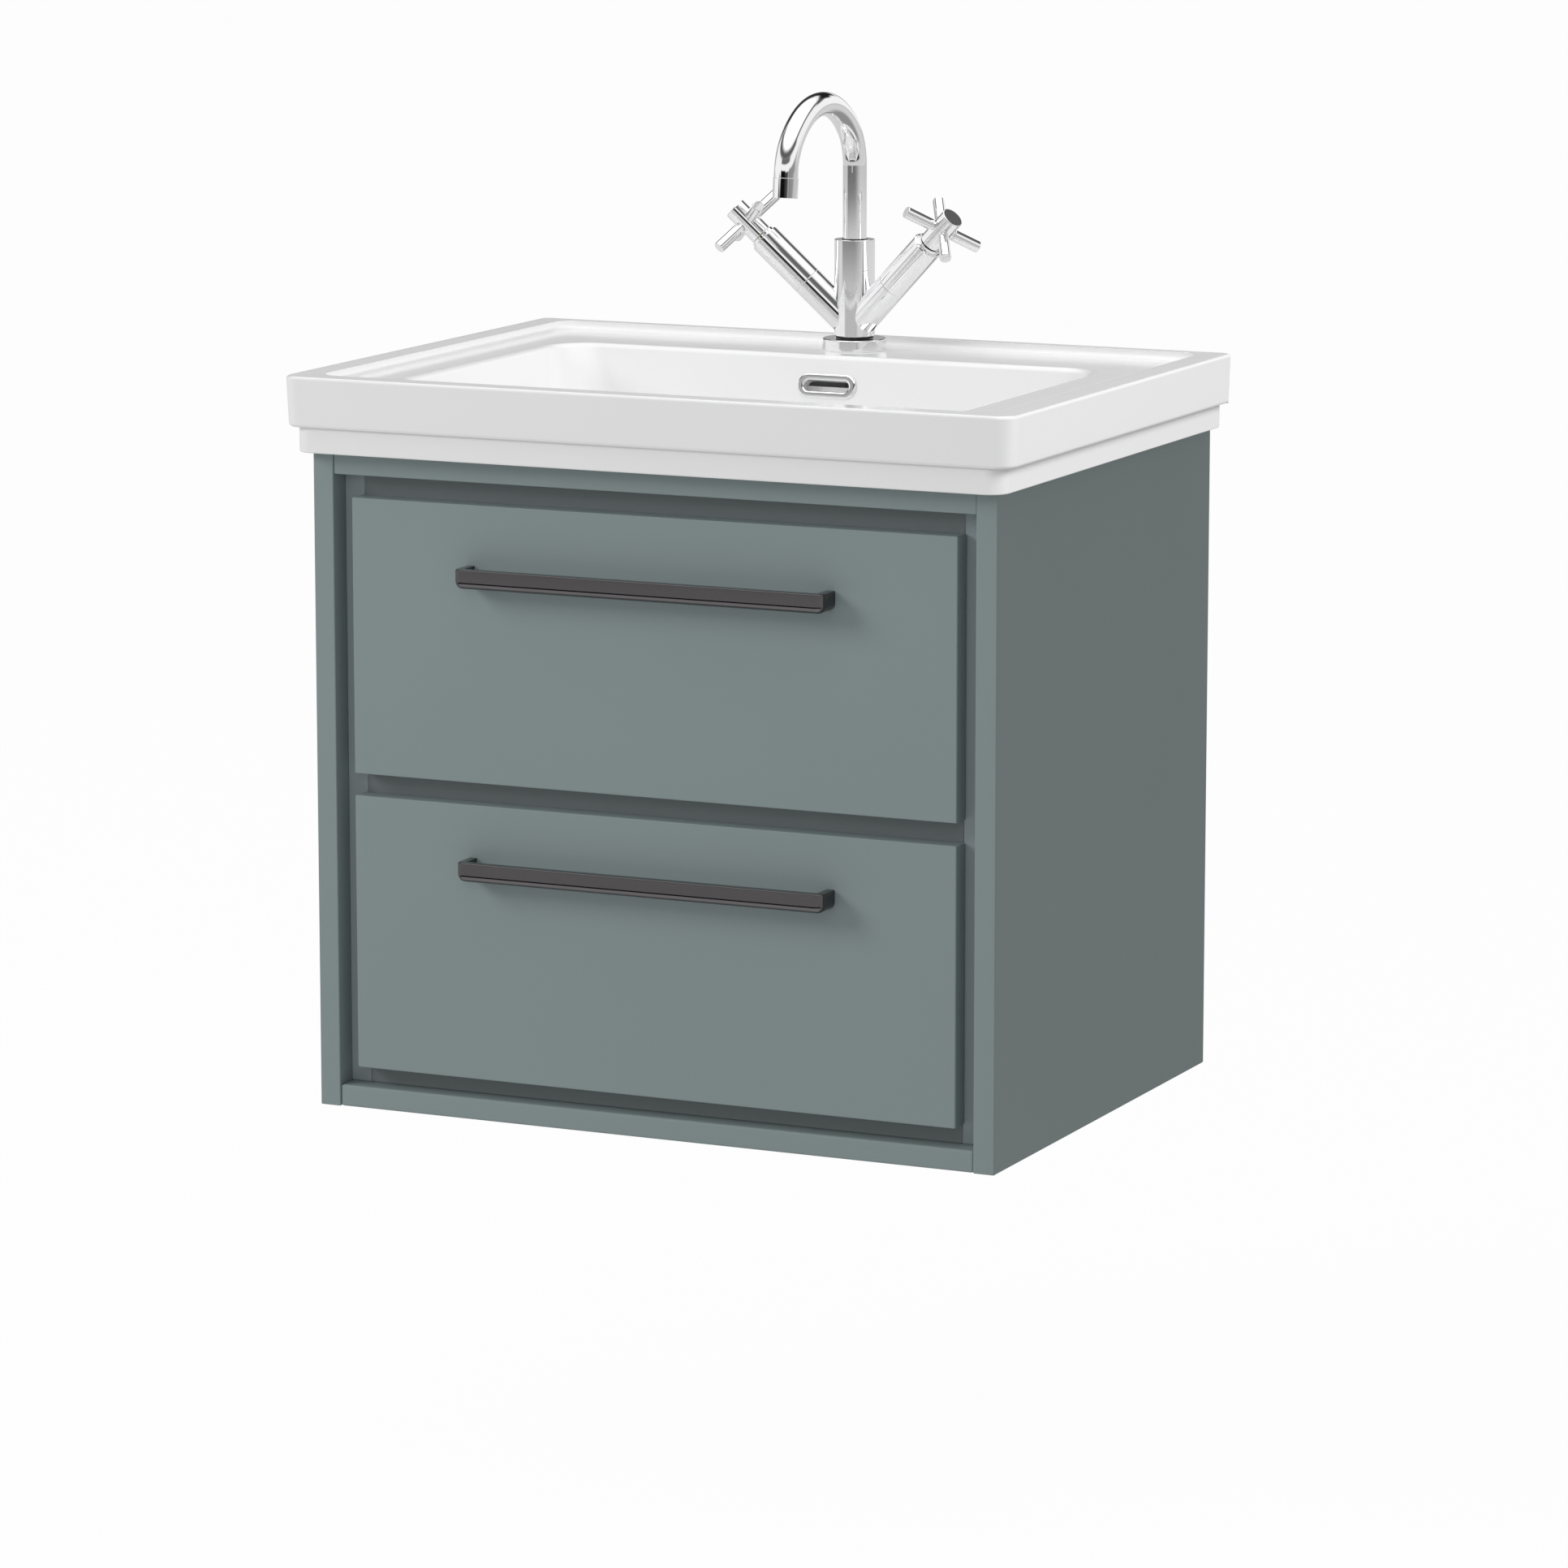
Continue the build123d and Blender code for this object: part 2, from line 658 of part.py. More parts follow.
with BuildPart(waste_plane) as waste_body:
    with Locations((0, 0, waste_flange / 2)):
        Cylinder(waste_flange_dia / 2, waste_flange)
    chamfer(waste_body.edges().filter_by(GeomType.CIRCLE).sort_by(Axis.Z)[-1], waste_flange / 2)
    with Locations((0, 0, -waste_length / 2)):
        Cylinder(waste_thread_dia / 2, waste_length)
    with Locations((0, 0, waste_flange / 2 - waste_length / 2)):
        Cylinder(waste_bore_dia / 2, waste_length + waste_flange, mode=Mode.SUBTRACT)
    with Locations((0, 0, -(duct_near + duct_far) / 2)):
        Box(waste_window_width, 2 * waste_thread_dia, duct_far - duct_near, mode=Mode.SUBTRACT)
    with Locations((0, 0, spider_z)):
        Box(waste_bore_dia + thread_clear, spider_bar, spider_bar)
        Cylinder(spider_hub_dia / 2, spider_bar)
        Cylinder(plug_stem_dia / 2 + plug_stem_clear, 2 * spider_bar, mode=Mode.SUBTRACT)
finish(waste_body, "waste_body")

seal_top = boss_z - bowl_floor_z
with BuildPart(waste_plane) as waste_seal_ring:
    with BuildSketch(waste_plane.offset(seal_top)):
        Circle(waste_seal_dia / 2)
        Circle(waste_thread_dia / 2 + thread_clear, mode=Mode.SUBTRACT)
    extrude(amount=-waste_seal)
finish(waste_seal_ring, "waste_seal")

with BuildPart(waste_plane) as waste_back_nut:
    with BuildSketch(waste_plane.offset(seal_top - waste_seal)):
        RegularPolygon(waste_nut_flats / 2, 6, major_radius=False)
        Circle(waste_thread_dia / 2 + thread_clear, mode=Mode.SUBTRACT)
    extrude(amount=-waste_nut)
finish(waste_back_nut, "waste_nut")

plug_z = waste_flange + plug_gap
with BuildPart(waste_plane) as waste_plug:
    with BuildSketch(Plane(waste_plane.origin, x_dir=(1, 0, 0), z_dir=(0, -1, 0))) as plug_section:
        with BuildLine():
            dome_edge = plug_z + plug_height - plug_dome
            stem_end = plug_z - plug_stem_length
            Polyline(
                (0, plug_z + plug_height),
                (0, stem_end),
                (plug_stem_dia / 2, stem_end),
                (plug_stem_dia / 2, plug_z),
                (plug_dia / 2, plug_z),
                (plug_dia / 2, dome_edge),
            )
            TangentArc((0, plug_z + plug_height), (plug_dia / 2, dome_edge), tangent=(1, 0))
        make_face()
    revolve(axis=Axis(waste_plane.origin, (0, 0, 1)))
finish(waste_plug, "waste_plug")


# Mixer tap

tap_axis = Axis(tap_plane.origin, (0, 0, 1))
tap_section = Plane(tap_plane.origin, x_dir=(1, 0, 0), z_dir=(0, -1, 0))


def arm_plane(side, distance, turn=0.0):
    tilt = radians(arm_tilt)
    sweep = radians(arm_sweep)
    along = Vector(side * sin(tilt) * cos(sweep), -sin(tilt) * sin(sweep), cos(tilt))
    level = Vector(0, 0, 1).cross(along).normalized()
    turned = level * cos(radians(turn)) + along.cross(level) * sin(radians(turn))
    start = tap_plane.origin + Vector(0, 0, apex_height) + along * distance
    return Plane(origin=start, x_dir=turned, z_dir=along)


with BuildPart() as tap_base_ring:
    with BuildSketch(tap_plane):
        Circle(base_ring_dia / 2)
        Circle(tap_spigot_dia / 2 + base_ring_clear, mode=Mode.SUBTRACT)
    extrude(amount=base_ring_height)
    chamfer(tap_base_ring.edges().group_by(Axis.Z)[-1].sort_by(SortBy.LENGTH)[-1], base_ring_edge)
finish(tap_base_ring, "tap_base_ring")

with BuildPart() as tap_body:
    with BuildSketch(tap_section):
        with BuildLine():
            Polyline(
                (0, -tap_spigot),
                (tap_spigot_dia / 2, -tap_spigot),
                (tap_spigot_dia / 2, ring_top),
                (neck_dia / 2, ring_top),
                (neck_dia / 2, ring_top + neck_height),
                (column_dia / 2, ring_top + neck_height),
                (column_dia / 2, column_height),
                (0, column_height),
                close=True,
            )
        make_face()
    revolve(axis=tap_axis)
    for side in (-1, 1):
        with BuildSketch(arm_plane(side, 0)):
            Circle(arm_dia / 2)
        extrude(amount=arm_root)
    for side in (-1, 1):
        with BuildSketch(arm_plane(side, arm_root)):
            Circle(cartridge_dia / 2 + cartridge_clear)
        extrude(amount=-cartridge_seat, mode=Mode.SUBTRACT)
    with BuildSketch(tap_plane.offset(column_height)):
        Circle(spout_shank_dia / 2 + spout_fit)
    extrude(amount=-(spout_shank_length + spout_gap), mode=Mode.SUBTRACT)
    with BuildSketch(tap_plane.offset(-tap_spigot)):
        with Locations((-inlet_spacing / 2, inlet_offset), (inlet_spacing / 2, inlet_offset)):
            Circle(inlet_dia / 2)
    extrude(amount=inlet_depth, mode=Mode.SUBTRACT)
    with BuildSketch(tap_plane.offset(-tap_spigot)):
        with Locations((0, -stud_offset)):
            Circle(stud_dia / 2 + thread_clear)
    extrude(amount=stud_seat, mode=Mode.SUBTRACT)
finish(tap_body, "tap_body")

for side, name in ((-1, "left_valve_sleeve"), (1, "right_valve_sleeve")):
    with BuildPart() as sleeve:
        with BuildSketch(arm_plane(side, arm_root)):
            Circle(arm_dia / 2)
        extrude(amount=sleeve_end - arm_root)
        far_edge = sleeve.edges().sort_by(Axis((0, 0, 0), (side, 0, 1)))[-1]
        chamfer(far_edge, sleeve_wall / 2)
        with BuildSketch(arm_plane(side, sleeve_end)):
            Circle(collar_dia / 2)
        extrude(amount=collar_height)
        with BuildSketch(arm_plane(side, arm_root)):
            Circle(arm_dia / 2 - sleeve_wall)
        extrude(amount=sleeve_end - sleeve_wall - arm_root, mode=Mode.SUBTRACT)
        with BuildSketch(arm_plane(side, sleeve_end + collar_height)):
            Circle(spindle_dia / 2 + hub_gap)
        extrude(amount=-(collar_height + 2 * sleeve_wall), mode=Mode.SUBTRACT)
    finish(sleeve, name)

with BuildPart() as valve_cartridges:
    for side in (-1, 1):
        with BuildSketch(arm_plane(side, arm_root - cartridge_seat)):
            Circle(cartridge_dia / 2)
        extrude(amount=cartridge_end - arm_root + cartridge_seat)
        with BuildSketch(arm_plane(side, cartridge_end)):
            Circle(spindle_dia / 2 + spindle_clear)
        extrude(amount=spindle_start - cartridge_end - hub_gap, mode=Mode.SUBTRACT)
finish(valve_cartridges, "valve_cartridges")


def radial_rod(dia, length, mode=Mode.ADD):
    outwards = (Align.CENTER, Align.CENTER, Align.MIN)
    Cylinder(dia / 2, length, rotation=(0, 90, 0), align=outwards, mode=mode)


hub_start = sleeve_end + collar_height + hub_gap
pin_seat = hub_dia / 2 - pin_neck_seat
pin_start = hub_dia / 2 + pin_shoulder
for side, name in ((-1, "left"), (1, "right")):
    pin_plane = arm_plane(side, pin_place, -side * pin_turn)
    with BuildPart() as spindle:
        with BuildSketch(arm_plane(side, spindle_start)):
            Circle(spindle_dia / 2)
        extrude(amount=hub_start + spindle_grip - spindle_start)
    finish(spindle, name + "_spindle")

    with BuildPart() as hub:
        with BuildSketch(arm_plane(side, hub_start)):
            Circle(hub_dia / 2)
        extrude(amount=hub_length)
        chamfer(hub.edges().filter_by(GeomType.CIRCLE), hub_edge)
        with BuildSketch(arm_plane(side, hub_start)):
            Circle(spindle_dia / 2 + spindle_clear)
        extrude(amount=spindle_grip, mode=Mode.SUBTRACT)
        with Locations(pin_plane):
            with PolarLocations(pin_seat, 4):
                radial_rod(pin_neck_dia + 2 * spindle_clear, hub_dia, Mode.SUBTRACT)
    finish(hub, name + "_handle_hub")

    with BuildPart(pin_plane) as pins:
        with PolarLocations(pin_seat, 4):
            radial_rod(pin_neck_dia, pin_start + pin_shoulder - pin_seat)
        with PolarLocations(pin_start, 4):
            radial_rod(pin_dia, pin_reach - pin_start)
        chamfer(pins.edges().filter_by(GeomType.CIRCLE).sort_by(SortBy.RADIUS)[-8:], pin_edge)
    finish(pins, name + "_handle_pins")

# Swan-neck spout: a three-centred arch, flatter than a half circle
half_reach = spout_reach / 2
arch_rise = spout_crown - spout_spring
side_offset = half_reach - spout_side_radius
crown_radius = (side_offset**2 + arch_rise**2 - spout_side_radius**2) / 2 / (arch_rise - spout_side_radius)
side_sweep = degrees(atan2(crown_radius - arch_rise, side_offset))

with BuildPart() as tap_spout:
    with BuildLine(Plane.YZ) as spout_path:
        riser = Line((tap_y, tray_z + column_height + spout_gap), (tap_y, tray_z + spout_spring))
        rear = JernArc(riser @ 1, riser % 1, spout_side_radius, side_sweep)
        crown = JernArc(rear @ 1, rear % 1, crown_radius, 180 - 2 * side_sweep)
        front = JernArc(crown @ 1, crown % 1, spout_side_radius, side_sweep - spout_tip_tilt)
        Line(front @ 1, front @ 1 + (front % 1) * spout_tip_run)
    with BuildSketch(tap_plane.offset(column_height + spout_gap)):
        Circle(spout_dia / 2)
        Circle(spout_bore / 2, mode=Mode.SUBTRACT)
    sweep()
    with BuildSketch(tap_plane.offset(column_height + spout_gap)):
        Circle(spout_shank_dia / 2)
        Circle(spout_bore / 2, mode=Mode.SUBTRACT)
    extrude(amount=-spout_shank_length)
finish(tap_spout, "tap_spout")

outlet = spout_path.line
aerator_plane = Plane(origin=outlet @ 1, x_dir=(1, 0, 0), z_dir=(outlet % 1) * -1)
with BuildPart() as spout_aerator:
    with BuildSketch(aerator_plane):
        Circle(aerator_dia / 2)
    extrude(amount=-aerator_height)
    with BuildSketch(aerator_plane.offset(-aerator_height)):
        Circle(spout_bore / 2)
    extrude(amount=aerator_height - aerator_plate, mode=Mode.SUBTRACT)
    with BuildSketch(aerator_plane):
        Circle(aerator_bore / 2)
    extrude(amount=-aerator_plate, mode=Mode.SUBTRACT)
finish(spout_aerator, "spout_aerator")

# Fixing under the ledge
with BuildPart() as tap_stud:
    with BuildSketch(tap_plane.offset(-tap_spigot + stud_seat)):
        with Locations((0, -stud_offset)):
            Circle(stud_dia / 2)
    extrude(amount=-stud_length)
finish(tap_stud, "tap_stud")

clamp_plane = tap_plane.offset(-deck_thickness)
with BuildPart() as tap_horseshoe:
    with BuildSketch(clamp_plane):
        Circle(horseshoe_dia / 2)
        with Locations((0, (horseshoe_dia / 2 - inlet_dia / 2) / 2)):
            Rectangle(horseshoe_slot, horseshoe_dia / 2 + inlet_dia / 2, mode=Mode.SUBTRACT)
        with Locations((0, -stud_offset)):
            Circle(stud_dia / 2 + thread_clear, mode=Mode.SUBTRACT)
    extrude(amount=-horseshoe_sheet)
finish(tap_horseshoe, "tap_horseshoe")

with BuildPart() as tap_nut:
    with BuildSketch(clamp_plane.offset(-horseshoe_sheet)):
        with Locations((0, -stud_offset)):
            RegularPolygon(stud_nut_flats / 2, 6, major_radius=False)
            Circle(stud_dia / 2 + thread_clear, mode=Mode.SUBTRACT)
    extrude(amount=-stud_nut)
finish(tap_nut, "tap_nut")
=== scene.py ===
import json
from math import atan2, cos, pi, radians, sin, tan

import bmesh
import bpy
from mathutils import Matrix, Vector


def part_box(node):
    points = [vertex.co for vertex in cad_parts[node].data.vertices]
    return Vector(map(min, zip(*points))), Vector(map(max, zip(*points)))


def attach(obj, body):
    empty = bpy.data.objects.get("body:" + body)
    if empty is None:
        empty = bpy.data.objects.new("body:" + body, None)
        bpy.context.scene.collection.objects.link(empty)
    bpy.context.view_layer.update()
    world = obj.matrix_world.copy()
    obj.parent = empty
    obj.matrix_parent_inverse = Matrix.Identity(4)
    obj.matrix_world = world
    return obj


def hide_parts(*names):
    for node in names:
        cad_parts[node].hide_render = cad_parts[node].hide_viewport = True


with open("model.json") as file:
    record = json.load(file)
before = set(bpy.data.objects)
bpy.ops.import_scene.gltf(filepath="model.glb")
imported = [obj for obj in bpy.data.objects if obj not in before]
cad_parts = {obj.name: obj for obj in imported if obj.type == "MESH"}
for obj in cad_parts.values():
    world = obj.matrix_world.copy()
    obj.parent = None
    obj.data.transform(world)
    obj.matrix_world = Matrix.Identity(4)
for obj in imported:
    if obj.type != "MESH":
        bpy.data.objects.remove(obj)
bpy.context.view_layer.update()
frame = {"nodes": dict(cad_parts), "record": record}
nodes = frame["nodes"]
scene = bpy.context.scene
print("frame loaded with", len(nodes), "nodes")


# camera at the photograph's place

cameraSetup = {
    "place": (2.32924, -5.22555, 0.76081),
    "tilt": 79.744,
    "turn": 24.84,
    "lens": 155.92,
    "sensor": 36,
    "farthest": 60,
}
bpy.ops.object.camera_add(
    location=cameraSetup["place"],
    rotation=(radians(cameraSetup["tilt"]), 0, radians(cameraSetup["turn"])),
)
camera = bpy.context.object
camera.name = "photoCamera"
camera.data.lens = cameraSetup["lens"]
camera.data.sensor_width = cameraSetup["sensor"]
camera.data.clip_end = cameraSetup["farthest"]
scene.camera = camera
scene.view_settings.view_transform = "Standard"


# small helpers for modelling by operators

closeBy = 1e-5  # places nearer than this are the same


def clearSelection():
    if bpy.context.mode != "OBJECT":
        bpy.ops.object.mode_set(mode="OBJECT")
    bpy.ops.object.select_all(action="DESELECT")


def startEdit():
    bpy.ops.object.mode_set(mode="EDIT")
    bpy.ops.mesh.select_mode(type="VERT")
    bpy.ops.mesh.select_all(action="SELECT")


def pick(kind, test):  # selects the faces, edges or vertices that pass the test
    bpy.ops.mesh.select_mode(type=kind)
    bpy.ops.mesh.select_all(action="DESELECT")
    mesh = bmesh.from_edit_mesh(bpy.context.object.data)
    items = {"FACE": mesh.faces, "EDGE": mesh.edges, "VERT": mesh.verts}[kind]
    for item in items:
        if test(item):
            item.select_set(True)
    mesh.select_flush_mode()
    bmesh.update_edit_mesh(bpy.context.object.data)


def extrudeBy(move):  # draws new edges out of the selected ones
    bpy.ops.mesh.extrude_edges_move(TRANSFORM_OT_translate={"value": move})


def resizeAbout(centre, *sizes):
    bpy.ops.transform.resize(value=sizes, center_override=centre)


def addModifier(piece, kind, name, **values):
    modifier = piece.modifiers.new(name, kind)
    for key, value in values.items():
        setattr(modifier, key, value)
    bpy.ops.object.modifier_apply(modifier=modifier.name)


def soften(piece, width, segments=3, angle=32):  # small rounded edges that catch the light
    addModifier(
        piece, "BEVEL", "soften", width=width, segments=segments,
        limit_method="ANGLE", angle_limit=radians(angle), harden_normals=False,
    )


def dress(piece, body, slot, material, *replaced, angle=35):
    clearSelection()
    piece.select_set(True)
    bpy.context.view_layer.objects.active = piece
    bpy.ops.object.transform_apply(location=True, rotation=True, scale=True)
    bpy.ops.object.shade_smooth_by_angle(angle=radians(angle), keep_sharp_edges=True)
    addModifier(piece, "WEIGHTED_NORMAL", "evenShade", keep_sharp=True, weight=60)
    piece.data.materials.clear()
    piece.data.materials.append(material)
    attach(piece, body)
    if replaced:
        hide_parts(*replaced)
    return piece


# shared shader groups

grainLook = {
    "fineDetail": 3,
    "broadScale": 6,
    "broadDetail": 2,
    "glossFrom": 0.25,
    "glossTo": 0.75,
    "bumpDepth": 0.0002,
}


def buildGrainGroup():  # fine and broad variation over a surface
    group = bpy.data.node_groups.new("surfaceGrain", "ShaderNodeTree")
    group.interface.new_socket("Scale", in_out="INPUT", socket_type="NodeSocketFloat")
    group.interface.new_socket("Fine", in_out="OUTPUT", socket_type="NodeSocketFloat")
    group.interface.new_socket("Broad", in_out="OUTPUT", socket_type="NodeSocketFloat")
    entry = group.nodes.new("NodeGroupInput")
    leave = group.nodes.new("NodeGroupOutput")
    coords = group.nodes.new("ShaderNodeTexCoord")
    fine = group.nodes.new("ShaderNodeTexNoise")
    fine.inputs["Detail"].default_value = grainLook["fineDetail"]
    broad = group.nodes.new("ShaderNodeTexNoise")
    broad.inputs["Scale"].default_value = grainLook["broadScale"]
    broad.inputs["Detail"].default_value = grainLook["broadDetail"]
    group.links.new(entry.outputs["Scale"], fine.inputs["Scale"])
    group.links.new(coords.outputs["Object"], fine.inputs["Vector"])
    group.links.new(coords.outputs["Object"], broad.inputs["Vector"])
    group.links.new(fine.outputs["Fac"], leave.inputs["Fine"])
    group.links.new(broad.outputs["Fac"], leave.inputs["Broad"])
    return group


grainGroup = buildGrainGroup()


def grainMaterial(name, look):
    material = bpy.data.materials.new(name)
    material.use_nodes = True
    tree = material.node_tree
    shader = tree.nodes["Principled BSDF"]
    grain = tree.nodes.new("ShaderNodeGroup")
    grain.node_tree = grainGroup
    grain.inputs["Scale"].default_value = look["grain"]
    tint = tree.nodes.new("ShaderNodeMix")
    tint.data_type = "RGBA"
    tint.inputs["A"].default_value = (*look["dark"], 1)
    tint.inputs["B"].default_value = (*look["light"], 1)
    tree.links.new(grain.outputs["Broad"], tint.inputs["Factor"])
    tree.links.new(tint.outputs["Result"], shader.inputs["Base Color"])
    gloss = tree.nodes.new("ShaderNodeMapRange")
    gloss.inputs["From Min"].default_value = grainLook["glossFrom"]
    gloss.inputs["From Max"].default_value = grainLook["glossTo"]
    gloss.inputs["To Min"].default_value = look["roughness"][0]
    gloss.inputs["To Max"].default_value = look["roughness"][1]
    tree.links.new(grain.outputs["Fine"], gloss.inputs["Value"])
    tree.links.new(gloss.outputs["Result"], shader.inputs["Roughness"])
    if look["bump"]:
        bump = tree.nodes.new("ShaderNodeBump")
        bump.inputs["Strength"].default_value = look["bump"]
        bump.inputs["Distance"].default_value = grainLook["bumpDepth"]
        tree.links.new(grain.outputs["Fine"], bump.inputs["Height"])
        tree.links.new(bump.outputs["Normal"], shader.inputs["Normal"])
    shader.inputs["Metallic"].default_value = look.get("metallic", 0)
    shader.inputs["Specular IOR Level"].default_value = look.get("specular", 0.5)
    return material


paintCoat = {"grain": 700, "roughness": (0.36, 0.44), "bump": 0.04, "specular": 0.10}
melamineFace = {"grain": 900, "roughness": (0.45, 0.55), "bump": 0.05}
finishes = {
    "greyPaint": {"dark": (0.232, 0.279, 0.281), "light": (0.245, 0.293, 0.295), **paintCoat},
    # runner panels' paint: the same grey paint made lighter, painted light for the light that reaches their edges
    # inside the recess
    "runnerPaintedLight": {"dark": (0.300, 0.350, 0.362), "light": (0.315, 0.365, 0.377), **paintCoat},
    # inner rails' paint: the same grey paint made darker, painted shade of the recess the rails sit in
    "railPaintedShade": {"dark": (0.206, 0.231, 0.238), "light": (0.218, 0.243, 0.250), **paintCoat},
    "whiteGlaze": {
        "dark": (0.775, 0.775, 0.775), "light": (0.795, 0.795, 0.795),
        "grain": 60, "roughness": (0.10, 0.14), "bump": 0.01,
    },
    "tapChrome": {
        "dark": (0.86, 0.86, 0.87), "light": (0.90, 0.90, 0.905),
        "grain": 400, "roughness": (0.03, 0.05), "bump": 0, "metallic": 1,
    },
    "gunmetal": {
        "dark": (0.117, 0.111, 0.114), "light": (0.132, 0.126, 0.129),
        "grain": 500, "roughness": (0.10, 0.15), "bump": 0.01, "metallic": 1,
    },
    "plainMelamine": {"dark": (0.50, 0.50, 0.48), "light": (0.54, 0.54, 0.52), **melamineFace},
    "railMelamine": {"dark": (0.42, 0.42, 0.40), "light": (0.47, 0.47, 0.45), **melamineFace},
    "zincSteel": {
        "dark": (0.52, 0.52, 0.51), "light": (0.62, 0.62, 0.61),
        "grain": 300, "roughness": (0.26, 0.38), "bump": 0.05, "metallic": 1,
    },
    "guardPlastic": {
        "dark": (0.31, 0.32, 0.32), "light": (0.36, 0.37, 0.37),
        "grain": 1200, "roughness": (0.5, 0.6), "bump": 0.1,
    },
    "sealRubber": {
        "dark": (0.02, 0.02, 0.02), "light": (0.035, 0.035, 0.035),
        "grain": 800, "roughness": (0.6, 0.75), "bump": 0.1,
    },
    "turnedBeech": {
        "dark": (0.52, 0.34, 0.19), "light": (0.66, 0.46, 0.28),
        "grain": 240, "roughness": (0.55, 0.65), "bump": 0.15,
    },
    "valveBrass": {
        "dark": (0.62, 0.44, 0.19), "light": (0.72, 0.53, 0.25),
        "grain": 300, "roughness": (0.22, 0.32), "bump": 0.03, "metallic": 1,
    },
}
materials = {name: grainMaterial(name, look) for name, look in finishes.items()}

slotFinish = {
    "painted_board": "greyPaint",
    "handle_metal": "gunmetal",
    "rail_board": "railMelamine",
    "drawer_board": "plainMelamine",
    "beech": "turnedBeech",
    "runner_steel": "zincSteel",
    "screw_steel": "zincSteel",
    "fixing_steel": "zincSteel",
    "guard_plastic": "guardPlastic",
    "glazed_ceramic": "whiteGlaze",
    "seal_rubber": "sealRubber",
    "valve_brass": "valveBrass",
    "chrome": "tapChrome",
}
for part in frame["record"]["subparts"]:
    node = nodes[part["node"]]
    node.data.materials.clear()
    node.data.materials.append(materials[slotFinish[part["material_slot"]]])
print("finishes set on the carried-over nodes")


# painted boards, with the eased edges that paint gives them

boardEdges = {
    "left_side_panel": 0.0010,
    "right_side_panel": 0.0010,
    "bottom_panel": 0.0022,
    "top_front_rail": 0.0012,
    "left_runner_panel": 0.0008,
    "right_runner_panel": 0.0008,
    "top_inner_rail": 0.0008,
    "middle_inner_rail": 0.0008,
    "bottom_inner_rail": 0.0008,
    "upper_drawer_front": 0.0011,
    "lower_drawer_front": 0.0011,
}
boardBody = {"upper_drawer_front": "upper_drawer", "lower_drawer_front": "lower_drawer"}
boardPaint = {
    # runner panels take the lighter copy of the grey paint, which is painted light
    "left_runner_panel": "runnerPaintedLight", "right_runner_panel": "runnerPaintedLight",
    # inner rails take the darker copy of the grey paint, which is painted shade of the recess
    "top_inner_rail": "railPaintedShade", "middle_inner_rail": "railPaintedShade", "bottom_inner_rail": "railPaintedShade",
}


def paintedBoard(node, edge):
    low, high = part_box(node)
    clearSelection()
    bpy.ops.mesh.primitive_cube_add(size=1, location=(low + high) / 2)
    board = bpy.context.object
    board.name = node + "_painted"
    board.scale = high - low
    bpy.ops.object.transform_apply(location=True, rotation=True, scale=True)
    soften(board, edge, 4)
    paint = materials[boardPaint.get(node, "greyPaint")]
    return dress(board, boardBody.get(node, "cabinet"), "painted_board", paint, node)


for node, edge in boardEdges.items():
    paintedBoard(node, edge)
print("boards painted")


# basin: rounded outlines are drawn one above the other, bridged and rounded

basinShape = {
    "cornerSteps": 12,
    "wasteY": -0.259,
    "tapHole": {"radius": 0.0175, "depth": 0.03, "middle": (0, -0.053, 0.0985), "steps": 64},
    # from the waste hole up the bowl, over the rim, down the apron and back underneath:
    # half width, front, back, height, front corner, back corner; the holes have a radius and a height
    "outlines": {
        "holeTop": (0.023, -0.0032),
        "bowlFloor": (0.213, -0.382, -0.136, -0.003, 0.062, 0.062),
        "bowlEdge": (0.247, -0.417, -0.101, 0.105, 0.034, 0.034),
        "trayEdge": (0.295, -0.448, -0.012, 0.1052, 0.016, 0.016),
        "rimInside": (0.2952, -0.4482, -0.0118, 0.1118, 0.016, 0.016),
        "rimOutside": (0.319, -0.470, 0.0, 0.112, 0.015, 0.006),
        "lipUnder": (0.31755, -0.46855, -0.0001, 0.0705, 0.015, 0.006),
        "stepTop": (0.3099, -0.4654, -0.0004, 0.0708, 0.015, 0.006),
        "stepUnder": (0.3099, -0.4654, -0.0004, 0.050, 0.015, 0.006),
        "seatInside": (0.2839, -0.4394, -0.026, 0.0503, 0.015, 0.006),
        "deckEdge": (0.2839, -0.4394, -0.026, 0.092, 0.015, 0.006),
        "shellTop": (0.2529, -0.4228, -0.0952, 0.0917, 0.047, 0.047),
        "shellUnder": (0.223, -0.392, -0.126, -0.013, 0.072, 0.072),
        "bossTop": (0.042, -0.0133),
        "bossUnder": (0.042, -0.028),
        "holeUnder": (0.023, -0.0277),
    },
    # offset, steps, and how far back the round runs
    "rounds": {
        "bowlFloor": (0.0174, 9, 0.01),
        "bowlEdge": (0.0046, 5, 0.01),
        "trayEdge": (0.0052, 7, 0.01),
        "rimInside": (0.0012, 4, 0.01),
        "rimOutside": (0.0030, 5, 0.01),
        "lipUnder": (0.0029, 4, -0.004),
        "stepUnder": (0.0012, 3, 0.01),
    },
}
ringNames = list(basinShape["outlines"])


def addOutline(half, front, back, height, frontCorner, backCorner):
    bpy.ops.mesh.primitive_plane_add(size=1, location=(0, 0, 0))
    resizeAbout((0, 0, 0), 2 * half, back - front, 1)
    bpy.ops.transform.translate(value=(0, (front + back) / 2, height))
    for cornerY, radius in ((front, frontCorner), (back, backCorner)):
        pick("VERT", lambda v: not v.hide
             and abs(abs(v.co.x) - half) < closeBy and abs(v.co.y - cornerY) < closeBy)
        bpy.ops.mesh.bevel(offset=radius, segments=basinShape["cornerSteps"], affect="VERTICES")
    bpy.ops.mesh.select_all(action="SELECT")
    bpy.ops.mesh.delete(type="ONLY_FACE")


def addHoleRing(radius, height):
    count = 4 * (basinShape["cornerSteps"] + 1)
    place = (0, basinShape["wasteY"], height)
    bpy.ops.mesh.primitive_circle_add(vertices=count, radius=radius, location=place)


